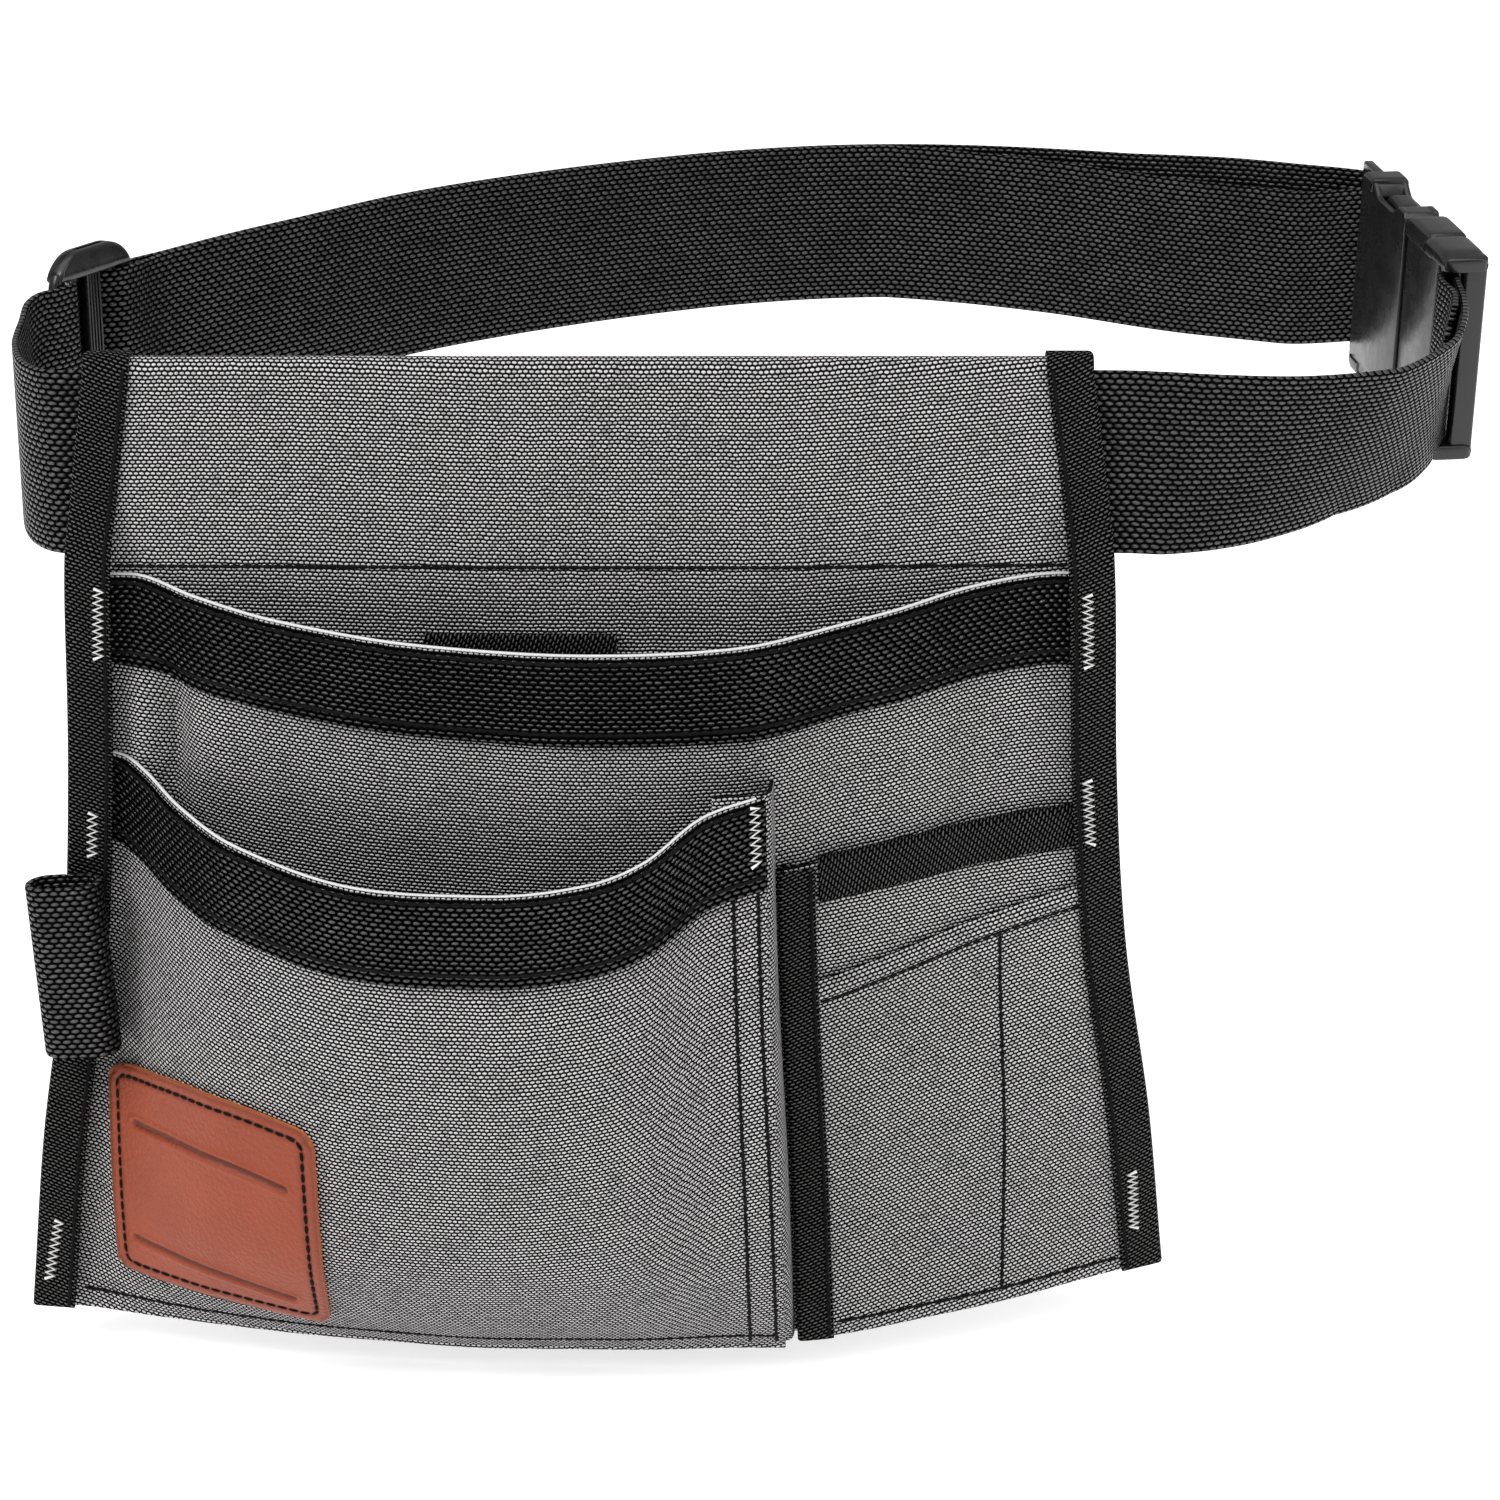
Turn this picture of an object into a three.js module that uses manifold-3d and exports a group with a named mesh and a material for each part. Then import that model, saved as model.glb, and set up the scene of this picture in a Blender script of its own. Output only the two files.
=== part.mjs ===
import * as THREE from 'three';
import { mergeVertices } from 'three/addons/utils/BufferGeometryUtils.js';
import Module from 'manifold-3d';

const wasm = await Module();
wasm.setup();

// Carpenter nail apron in millimetres. X runs along the front of the waist, Y points away from
// the front of the apron and Z up. The origin is the middle of the waist, at the belt's mid height.

// Belt and waist
const waistWidth = 416;
const waistDepth = 250;
const webbingWidth = 50;
const webbingThickness = 1.8;
const foldedEnd = 30;

// Cloth and tapes
const canvas = 1.2;
const tape = 1.0;
const bandThickness = 1.2;
const bandWidth = 25;
const gap = 0.4;
const bindingWidth = 11;
const centreBindingWidth = 8.8;

// Apron
const topWidth = 265;
const hemWidth = 323;
const topMiddle = -42.4;
const hemMiddle = -42.8;
const apronDrop = 250;
const tunnelSeam = 29;
const tunnelFlap = 12;
const hemBow = 15;

// Pockets
const largeRimDrop = 31;
const largeSag = 14;
const largeSwell = 25;
const nailRimDrop = 80;
const nailSag = 23;
const nailSwell = 45;
const nailWidthShare = 0.665;
const gussetHem = 16;
const smallRimLeft = 106.5;
const smallRimRight = 98;
const penRimLeft = 142;
const penRimRight = 119;
const innerTop = 48;
const innerBottom = 150;
const innerLeftShare = 0.34;
const innerRightShare = 0.525;
const innerBindingHeight = 8;

// Tool loop, patch, slider and buckle
const toolLoopWidth = 21;
const toolLoopDepth = 12;
const toolLoopTop = 114;
const toolLoopTilt = 3;
const toolLoopShift = 2.4;
const patchWidth = 61;
const patchHeight = 63;
const patchThickness = 1.6;
const patchCorner = 7;
const patchDrop = 171.5;
const patchInset = 15.5;
const patchSlope = 0.09;
const sliderLength = 36;
const sliderRail = 7;
const sliderHeight = webbingWidth + 2 * sliderRail;
const sliderBar = 5;
const sliderCentreBar = 7;
const sliderThickness = 3;
const sliderLift = 1.5;
const slotRim = 3;
const buckleThickness = 11;
const barThickness = 3;
const femaleLength = 57;
const slotPlay = 2;
const slotLength = 10;
const slotHeight = webbingWidth + 3 * slotPlay;
const buckleHeight = slotHeight + 2 * slotRim;
const slotCorner = 1;
const mouthWall = 2;
const sideWall = 6;
const shoulderCorner = 4;
const prongHeight = 9;
const tongueHeight = 12;
const windowStart = 14;
const windowEnd = 9;
const catchStart = 10;
const catchEnd = 13;
const wrapLength = 26;
const innerHang = 6.6;

// Colours and finishes
const canvasFinish = { color: 0x85858a, roughness: 0.95, metalness: 0 };
const tapeFinish = { color: 0x18181a, roughness: 0.85, metalness: 0 };
const webbingFinish = { color: 0x131315, roughness: 0.6, metalness: 0 };
const leatherFinish = { color: 0xb05a2c, roughness: 0.5, metalness: 0 };
const plasticFinish = { color: 0x1a1a1c, roughness: 0.35, metalness: 0 };

const part = new THREE.Group();

// A table column read at any place between its rows, joined by smooth cubic steps.
function readTable(table, key, column, at) {
  const last = table.length - 1;
  let row = 0;
  while (row < last - 1 && at > table[row + 1][key]) row += 1;
  const span = table[row + 1][key] - table[row][key];
  const t = Math.min(1, Math.max(0, (at - table[row][key]) / span));
  const value = (index) => table[Math.min(last, Math.max(0, index))][column];
  const place = (index) => table[Math.min(last, Math.max(0, index))][key];
  const slope = (index) => {
    const run = place(index + 1) - place(index - 1);
    const before = value(index) - value(index - 1);
    const after = value(index + 1) - value(index);
    const turns = before * after <= 0 && index > 0 && index < last;
    return turns || run === 0 ? 0 : (value(index + 1) - value(index - 1)) / run;
  };
  const a = value(row);
  const b = value(row + 1);
  const square = t * t;
  const cube = square * t;
  return a * (2 * cube - 3 * square + 1) + b * (3 * square - 2 * cube)
    + slope(row) * span * (cube - 2 * square + t) + slope(row + 1) * span * (cube - square);
}

const lerp = THREE.MathUtils.lerp;

function addMesh(name, geometry, finish) {
  const mesh = new THREE.Mesh(geometry, new THREE.MeshStandardMaterial(finish));
  mesh.name = name;
  part.add(mesh);
  return mesh;
}

// A grid is a list of rows of points. This one moves every point along the grid's own normal.
function offsetGrid(grid, distance) {
  const lastRow = grid.length - 1;
  const lastColumn = grid[0].length - 1;
  return grid.map((row, r) => row.map((point, c) => {
    const along = grid[Math.min(lastRow, r + 1)][c].clone().sub(grid[Math.max(0, r - 1)][c]);
    const across = row[Math.min(lastColumn, c + 1)].clone().sub(row[Math.max(0, c - 1)]);
    return point.clone().addScaledVector(across.cross(along).normalize(), distance);
  }));
}

// A cloth wall: a grid of middle points, given its thickness and closed round all four edges.
function wallGeometry(grid, thickness) {
  const rows = grid.length;
  const columns = grid[0].length;
  const faces = [];
  const faceGrids = [offsetGrid(grid, thickness / 2), offsetGrid(grid, -thickness / 2)];
  const positions = faceGrids.flat(2);
  const front = (r, c) => r * columns + c;
  const back = (r, c) => rows * columns + r * columns + c;
  const quad = (a, b, c, d) => faces.push(a, b, c, a, c, d);
  for (let r = 0; r < rows - 1; r += 1) {
    for (let c = 0; c < columns - 1; c += 1) {
      quad(front(r, c), front(r, c + 1), front(r + 1, c + 1), front(r + 1, c));
      quad(back(r, c), back(r + 1, c), back(r + 1, c + 1), back(r, c + 1));
    }
    quad(front(r, 0), front(r + 1, 0), back(r + 1, 0), back(r, 0));
    quad(front(r, columns - 1), back(r, columns - 1), back(r + 1, columns - 1), front(r + 1, columns - 1));
  }
  for (let c = 0; c < columns - 1; c += 1) {
    quad(front(0, c), back(0, c), back(0, c + 1), front(0, c + 1));
    quad(front(rows - 1, c), front(rows - 1, c + 1), back(rows - 1, c + 1), back(rows - 1, c));
  }
  const geometry = new THREE.BufferGeometry();
  const numbers = positions.flatMap((point) => point.toArray());
  geometry.setAttribute('position', new THREE.Float32BufferAttribute(numbers, 3));
  geometry.setIndex(faces);
  geometry.computeVertexNormals();
  return geometry;
}

function addWall(name, grid, thickness, finish) {
  return addMesh(name, wallGeometry(grid, thickness), finish);
}

function steps(count) {
  return Array.from({ length: count + 1 }, (unused, index) => index / count);
}

// The apron's hang: how its width, its bow towards the viewer and the lift of its right side
// grow from the top of the tunnel to the hem.
const hang = [
  { down: 0.0, flare: 0.0, bow: 0.0, swing: 0.0 },
  { down: 0.17, flare: 0.22, bow: 0.08, swing: 0.02 },
  { down: 0.4, flare: 0.32, bow: 0.3, swing: 0.12 },
  { down: 0.6, flare: 0.48, bow: 0.56, swing: 0.32 },
  { down: 0.8, flare: 0.78, bow: 0.8, swing: 0.62 },
  { down: 1.0, flare: 1.0, bow: 1.0, swing: 1.0 },
];

// The hem's line across the apron, as shares of hemBow: forward towards the viewer, and drop.
const hemLine = [
  { across: 0.0, forward: -0.1, drop: -0.2 },
  { across: 0.2, forward: 0.45, drop: -0.13 },
  { across: 0.45, forward: 0.9, drop: 0.0 },
  { across: 0.65, forward: 1.0, drop: 0.0 },
  { across: 0.8, forward: 0.3, drop: -0.15 },
  { across: 1.0, forward: -1.0, drop: -0.6 },
];

const frontRise = -0.03;
const tunnelTop = webbingWidth * (0.5 + frontRise);
const tunnelReach = canvas / 2 + gap + tape + gap + webbingThickness / 2;
const frontY = -waistDepth / 2 - tunnelReach;
const clothHeight = tunnelTop + apronDrop;

// Share of the way from the top of the tunnel to the hem.
function downShare(z) {
  return (tunnelTop - z) / clothHeight;
}

function panelEdge(z, side) {
  const flare = readTable(hang, 'down', 'flare', downShare(z));
  const width = lerp(topWidth, hemWidth, flare) - 2 * (tape + gap);
  const middle = lerp(topMiddle, hemMiddle, flare);
  return middle + side * width / 2;
}

// A point of the hanging cloth at a share across, a height and a depth in front of the panel.
function clothPoint(across, z, depth) {
  const down = Math.max(0, downShare(z));
  const x = lerp(panelEdge(z, -1), panelEdge(z, 1), across);
  const forward = readTable(hemLine, 'across', 'forward', across);
  const bow = forward >= 0 ? readTable(hang, 'down', 'bow', down) : readTable(hang, 'down', 'swing', down);
  const lift = readTable(hemLine, 'across', 'drop', across) * hemBow * down * down;
  return new THREE.Vector3(x, frontY - forward * hemBow * bow - depth, z - lift);
}

// Plies in front of the panel, from its middle out, each a tape or canvas thickness and a gap on.
const largePly = canvas + gap;
const bandPly = canvas / 2 + gap + bandThickness / 2;
const nailPly = largePly + canvas + gap;
const smallBackTapePly = largePly + canvas / 2 + gap + tape / 2;
const smallPly = smallBackTapePly + tape / 2 + gap + canvas / 2;
const penPly = smallPly + canvas + gap;
const coverPly = penPly + canvas / 2 + gap + tape / 2;
const bindingBackPly = canvas / 2 + gap + tape / 2;

// Swell of the large pocket across its rim and down to the hem, as shares of largeSwell.
const largeAcross = [
  { across: 0.0, swell: 0.0 },
  { across: 0.055, swell: 0.0 },
  { across: 0.12, swell: 0.28 },
  { across: 0.2, swell: 0.58 },
  { across: 0.33, swell: 0.87 },
  { across: 0.5, swell: 1.0 },
  { across: 0.64, swell: 0.9 },
  { across: 0.78, swell: 0.5 },
  { across: 0.87, swell: 0.16 },
  { across: 0.955, swell: 0.0 },
  { across: 1.0, swell: 0.0 },
];
const largeDown = [
  { down: 0.0, swell: 1.0 },
  { down: 0.15, swell: 0.95 },
  { down: 0.4, swell: 0.62 },
  { down: 0.7, swell: 0.25 },
  { down: 1.0, swell: 0.0 },
];

function largeDepth(across, z) {
  const down = Math.min(1, Math.max(0, (-z - largeRimDrop) / (apronDrop - largeRimDrop)));
  const share = readTable(largeDown, 'down', 'swell', down);
  const swell = readTable(largeAcross, 'across', 'swell', across) * share;
  return largePly + largeSwell * swell;
}

function largeRim(across) {
  return -largeRimDrop - largeSag * readTable(largeAcross, 'across', 'swell', across);
}

// Back panel: hem to the top of the tunnel, over the belt and down behind it to the flap's end.
const pocketInset = 0.012;
const rightStart = 0.68;
const rightStations = steps(7).map((share) => lerp(rightStart, 1 - pocketInset, share));
const leftStations = steps(12).map((share) => lerp(pocketInset, rightStart, share));
const pocketStations = leftStations.concat(rightStations.slice(1));
const acrossStations = [0].concat(pocketStations, [1]);
const panelHeights = [1, 0.9, 0.8, 0.7, 0.6, 0.5, 0.4, 0.3, 0.23];
const foldSteps = 4;

// One row of the panel's path: its height, its depth behind the front wall and its way out.
function panelPath() {
  const path = panelHeights.map((down) => ({ z: tunnelTop - down * clothHeight, back: 0, turn: 0 }));
  path.push({ z: -tunnelSeam + gap, back: 0, turn: 0 });
  path.push({ z: -webbingWidth / 4, back: 0, turn: 0 });
  path.push({ z: webbingWidth / 8, back: 0, turn: 0 });
  for (let step = 0; step <= foldSteps; step += 1) {
    const turn = Math.PI * step / foldSteps;
    path.push({
      z: tunnelTop + tunnelReach * Math.sin(turn),
      back: tunnelReach * (1 - Math.cos(turn)),
      turn,
    });
  }
  const closed = canvas + 2 * tape + 3 * gap;
  path.push({ z: webbingWidth / 8, back: 2 * tunnelReach, turn: Math.PI });
  path.push({ z: -webbingWidth / 4, back: 2 * tunnelReach, turn: Math.PI });
  path.push({ z: tunnelTop - webbingWidth - gap / 2, back: 2 * tunnelReach, turn: Math.PI });
  path.push({ z: -tunnelSeam - gap, back: closed, turn: Math.PI });
  path.push({ z: -tunnelSeam - tunnelFlap, back: closed, turn: Math.PI });
  return path;
}

const panelRows = panelPath();

function panelPoint(across, row) {
  const point = clothPoint(across, Math.min(row.z, tunnelTop), -row.back);
  point.z += Math.max(0, row.z - tunnelTop);
  return point;
}

const panelGrid = panelRows.map((row) => acrossStations.map((across) => panelPoint(across, row)));
addWall('back_panel', panelGrid, canvas, canvasFinish);

// Side bindings: a tape folded round the panel's edge, up the side, over the tunnel and down the
// back. Below the tunnel its front leg also covers the ends of the pockets.
const bindingCover = [
  { z: -tunnelSeam - 5, cover: 1 },
  { z: -tunnelSeam + 3, cover: 1 },
  { z: -tunnelSeam + 19, cover: 0 },
  { z: tunnelTop, cover: 0 },
];

function bindingGrid(side) {
  return panelRows.map((row) => {
    const covered = row.turn === 0 ? readTable(bindingCover, 'z', 'cover', Math.min(row.z, tunnelTop)) : 0;
    const front = lerp(bindingBackPly, coverPly, covered);
    const edgeShare = side < 0 ? 0 : 1;
    const edge = panelPoint(edgeShare, row);
    const inside = panelPoint(edgeShare - side * 0.04, row);
    const inward = inside.sub(edge).normalize();
    const outward = new THREE.Vector3(0, -Math.cos(row.turn), Math.sin(row.turn));
    const bend = gap + tape / 2;
    const section = [
      [bindingWidth, front],
      [bindingWidth / 2, front],
      [0, front],
      [-bend, front - bend],
      [-bend, -bindingBackPly + bend],
      [0, -bindingBackPly],
      [bindingWidth / 2, -bindingBackPly],
      [bindingWidth, -bindingBackPly],
    ];
    return section.map(([along, out]) => edge.clone()
      .addScaledVector(inward, along)
      .addScaledVector(outward, out));
  });
}

addWall('binding_left', bindingGrid(-1), tape, tapeFinish);
addWall('binding_right', bindingGrid(1), tape, tapeFinish);

// Heights from a rim down to the hem: the band's rows first, then even shares of what is left.
const bandRows = [0.1, 0.4, 0.7, 1];
const lowerRows = steps(9).slice(1).map((share) => lerp(share, 1 - (1 - share) ** 2, 0.4));

function fallRows(rim, hem) {
  const top = [rim];
  const band = bandRows.map((share) => rim - share * bandWidth);
  const below = lowerRows.map((share) => lerp(rim - bandWidth, hem, share));
  return top.concat(band, below);
}

// Turns a list of columns into a list of rows.
function toRows(columns) {
  return columns[0].map((unused, row) => columns.map((column) => column[row]));
}

// Large pocket and its band of webbing, which stops short of the rim.
const largeGrid = toRows(pocketStations.map((across) => {
  return fallRows(largeRim(across), -apronDrop).map((z) => clothPoint(across, z, largeDepth(across, z)));
}));

// A pocket's band lies on the pocket's own front, over the rows just below its rim.
function bandGrid(pocket, distance) {
  return offsetGrid(pocket, -distance).slice(1, 1 + bandRows.length);
}

addWall('pocket_large', largeGrid, canvas, canvasFinish);
addWall('pocket_large_band', bandGrid(largeGrid, bandPly), bandThickness, webbingFinish);

// Inner pocket on the panel, behind the large pocket, with its own bound top edge.
const innerStations = steps(6).map((share) => lerp(innerLeftShare, innerRightShare, share));
const innerHeights = steps(5).map((share) => lerp(-innerTop, -innerBottom, share));
addWall('inner_pocket', innerHeights.map((z) => innerStations.map((across) => {
  return clothPoint(across, z, largePly);
})), canvas, canvasFinish);

// A tape folded over a rim: front leg, top bend and, where the rim stands free, a back leg.
function addRimTape(name, stations, rimOf, height, backLeg) {
  const leg = canvas / 2 + gap + tape / 2;
  const over = gap + tape / 2;
  const section = [[-height, leg], [-height / 2, leg], [over - tape / 2, leg], [over, 0]];
  if (backLeg) section.push([over - tape / 2, -leg], [-height / 2, -leg], [-height, -leg]);
  addWall(name, stations.map((across) => {
    const rim = rimOf(across);
    return section.map(([up, out]) => {
      return clothPoint(across, rim.z + up, rim.depth(rim.z + Math.min(0, up)) + out);
    });
  }), tape, tapeFinish);
}

addRimTape('inner_pocket_binding', innerStations, () => ({ z: -innerTop, depth: () => largePly }),
  innerBindingHeight, false);

// Nail pocket: a deep bellows pocket at the lower left. Its front swells out from the left
// binding and ends at a squared right side that stands clear of the panel. Depth is a share of
// nailSwell and dip a share of nailSag.
const nailAcross = [
  { across: 0.0, depth: 0.0, dip: 0.0 },
  { across: 0.05, depth: 0.0, dip: 0.08 },
  { across: 0.09, depth: 0.12, dip: 0.2 },
  { across: 0.15, depth: 0.4, dip: 0.42 },
  { across: 0.24, depth: 0.72, dip: 0.64 },
  { across: 0.4, depth: 0.95, dip: 0.92 },
  { across: 0.6, depth: 1.0, dip: 1.0 },
  { across: 0.75, depth: 0.97, dip: 0.88 },
  { across: 0.83, depth: 0.9, dip: 0.66 },
  { across: 0.91, depth: 0.78, dip: 0.22 },
  { across: 1.0, depth: 0.71, dip: 0.0 },
];
const nailDown = [
  { down: 0.0, depth: 1.0 },
  { down: 0.3, depth: 1.0 },
  { down: 0.55, depth: 0.95 },
  { down: 0.78, depth: 0.76 },
  { down: 0.92, depth: 0.44 },
  { down: 1.0, depth: 0.16 },
];

function nailDepth(share, z) {
  const down = Math.min(1, Math.max(0, (-z - nailRimDrop) / (apronDrop - nailRimDrop)));
  const swell = readTable(nailAcross, 'across', 'depth', share) * readTable(nailDown, 'down', 'depth', down);
  return nailPly + nailSwell * swell;
}

function nailRim(share) {
  return -nailRimDrop - nailSag * readTable(nailAcross, 'across', 'dip', share);
}

const nailStations = steps(22).map((share) => lerp(share, share * share, 0.35));

function nailPoint(share, z, extra) {
  return clothPoint(lerp(pocketInset, nailWidthShare, share), z, nailDepth(share, z) + extra);
}

const nailGrid = toRows(nailStations.map((share) => {
  return fallRows(nailRim(share), -apronDrop).map((z) => nailPoint(share, z, 0));
}));
addWall('pocket_nail', nailGrid, canvas, canvasFinish);
addWall('pocket_nail_band', bandGrid(nailGrid, bandPly), bandThickness, webbingFinish);

// Gusset: starts as a doubled hem behind the pocket's right edge, turns round that edge and runs
// back to the large pocket's wall.
addWall('pocket_nail_gusset', fallRows(nailRim(1), -apronDrop).map((z) => {
  const edge = nailPoint(1, z, 0);
  const floor = clothPoint(nailWidthShare, z, largeDepth(nailWidthShare, z) + canvas / 2 + gap);
  const behind = canvas + gap;
  const room = floor.y - edge.y - behind;
  const hem = nailPoint(1 - gussetHem / (nailWidthShare * hemWidth), z, -behind);
  const halfHem = nailPoint(1 - gussetHem / 2 / (nailWidthShare * hemWidth), z, -behind);
  const turn = [[0, 0], [1, 0.18], [1.4, 0.5], [1.7, 1]];
  return [hem, halfHem].concat(turn.map(([along, back]) => {
    return new THREE.Vector3(edge.x + along * canvas, edge.y + behind + back * room, edge.z);
  }));
}), canvas, canvasFinish);

// Small pocket and pen pocket at the lower right, both from the centre binding to the side.
function rightShare(across) {
  return (across - rightStart) / (1 - rightStart);
}

function rightGrid(rimLeft, rimRight, ply) {
  return toRows(rightStations.map((across) => {
    const rim = -lerp(rimLeft, rimRight, rightShare(across));
    return steps(8).map((share) => lerp(rim, -apronDrop, share))
      .map((z) => clothPoint(across, z, largeDepth(across, z) + ply - largePly));
  }));
}

addWall('pocket_small', rightGrid(smallRimLeft, smallRimRight, smallPly), canvas, canvasFinish);
addWall('pocket_pen', rightGrid(penRimLeft, penRimRight, penPly), canvas, canvasFinish);

const rimTapeStart = rightStart + (centreBindingWidth + gap) / topWidth;
const rimTapeStations = [rimTapeStart].concat(rightStations.filter((across) => across > rimTapeStart + 0.01));
addRimTape('pocket_small_binding', rimTapeStations, (across) => ({
  z: -lerp(smallRimLeft, smallRimRight, rightShare(across)),
  depth: (z) => largeDepth(across, z) + smallPly - largePly,
}), bindingWidth, true);

// Centre binding: a tape folded round the left edge of the two right-hand pockets.
const centreHeights = steps(9).map((share) => lerp(-smallRimLeft + gap, -apronDrop, share));
addWall('centre_binding', centreHeights.map((z) => {
  const lift = largeDepth(rightStart, z) - largePly;
  const edge = clothPoint(rightStart, z, lift);
  const bend = gap + tape / 2;
  const section = [
    [centreBindingWidth, coverPly],
    [centreBindingWidth / 2, coverPly],
    [0, coverPly],
    [-bend, coverPly - bend],
    [-bend, smallBackTapePly + bend],
    [0, smallBackTapePly],
    [centreBindingWidth / 2, smallBackTapePly],
    [centreBindingWidth, smallBackTapePly],
  ];
  return section.map(([along, out]) => {
    const across = rightStart + along / (panelEdge(z, 1) - panelEdge(z, -1));
    const here = clothPoint(across, z, largeDepth(across, z) - largePly + out);
    return new THREE.Vector3(edge.x + along, here.y, here.z);
  });
}), tape, tapeFinish);

// Leather patch, rounded at its corners, on the nail pocket's front.
const patchRows = [0, 0.03, 0.08, 0.15, 0.35, 0.55, 0.75, 0.88, 0.94, 1];
const patchColumns = steps(9);
const patchLeft = panelEdge(-patchDrop, -1) + patchInset;
const patchGrid = patchRows.map((down) => {
  const toEnd = Math.min(down, 1 - down) * patchHeight;
  const short = Math.max(0, patchCorner - toEnd);
  const inset = patchCorner - Math.sqrt(patchCorner ** 2 - short ** 2);
  return patchColumns.map((column) => {
    const along = lerp(inset, patchWidth - inset, column);
    const z = -patchDrop - patchSlope * along - down * patchHeight;
    const across = (patchLeft + along - panelEdge(z, -1)) / (panelEdge(z, 1) - panelEdge(z, -1));
    return nailPoint((across - pocketInset) / (nailWidthShare - pocketInset), z, 0);
  });
});
const patchPly = canvas / 2 + 2 * gap + patchThickness / 2;
addWall('leather_patch', offsetGrid(patchGrid, -patchPly), patchThickness, leatherFinish);

// Solids cut or joined from closed shapes.
function toSolid(geometry) {
  const bare = geometry.clone();
  bare.deleteAttribute('normal');
  bare.deleteAttribute('uv');
  const merged = mergeVertices(bare, 1e-4);
  return new wasm.Manifold(new wasm.Mesh({
    numProp: 3,
    vertProperties: new Float32Array(merged.attributes.position.array),
    triVerts: new Uint32Array(merged.index.array),
  }));
}

function toGeometry(solid) {
  const mesh = solid.getMesh();
  const geometry = new THREE.BufferGeometry();
  geometry.setAttribute('position', new THREE.Float32BufferAttribute(mesh.vertProperties, 3));
  geometry.setIndex(new THREE.Uint32BufferAttribute(mesh.triVerts, 1));
  geometry.computeVertexNormals();
  return geometry;
}

function roundedOutline(left, bottom, right, top, radius, outline = new THREE.Shape()) {
  outline.moveTo(left + radius, bottom);
  outline.lineTo(right - radius, bottom);
  outline.absarc(right - radius, bottom + radius, radius, -Math.PI / 2, 0, false);
  outline.lineTo(right, top - radius);
  outline.absarc(right - radius, top - radius, radius, 0, Math.PI / 2, false);
  outline.lineTo(left + radius, top);
  outline.absarc(left + radius, top - radius, radius, Math.PI / 2, Math.PI, false);
  outline.lineTo(left, bottom + radius);
  outline.absarc(left + radius, bottom + radius, radius, Math.PI, 1.5 * Math.PI, false);
  return outline;
}

function slab(outline, thickness) {
  const settings = { depth: thickness, bevelEnabled: false, curveSegments: 4 };
  const geometry = new THREE.ExtrudeGeometry(outline, settings);
  return geometry.translate(0, 0, -thickness / 2);
}

// Tool loop: a ring of webbing standing upright in front of the left binding.
function addToolLoop() {
  const halfWidth = toolLoopWidth / 2;
  const round = toolLoopDepth / 2 - 0.01;
  const ring = roundedOutline(-halfWidth, 0, halfWidth, toolLoopDepth, round);
  const wall = webbingThickness;
  ring.holes.push(roundedOutline(-halfWidth + wall, wall, halfWidth - wall, toolLoopDepth - wall,
    round - wall, new THREE.Path()));
  const settings = { depth: webbingWidth, bevelEnabled: false, curveSegments: 5 };
  const geometry = new THREE.ExtrudeGeometry(ring, settings);
  const mesh = addMesh('tool_loop', geometry, webbingFinish);
  const upper = clothPoint(0, -toolLoopTop, coverPly + tape / 2 + gap);
  const lower = clothPoint(0, -toolLoopTop - webbingWidth, coverPly + tape / 2 + gap);
  mesh.position.set(lower.x + bindingWidth / 2 + toolLoopShift, Math.min(upper.y, lower.y) - toolLoopDepth,
    -toolLoopTop - webbingWidth);
  mesh.rotation.y = THREE.MathUtils.degToRad(-toolLoopTilt);
}

addToolLoop();

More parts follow.
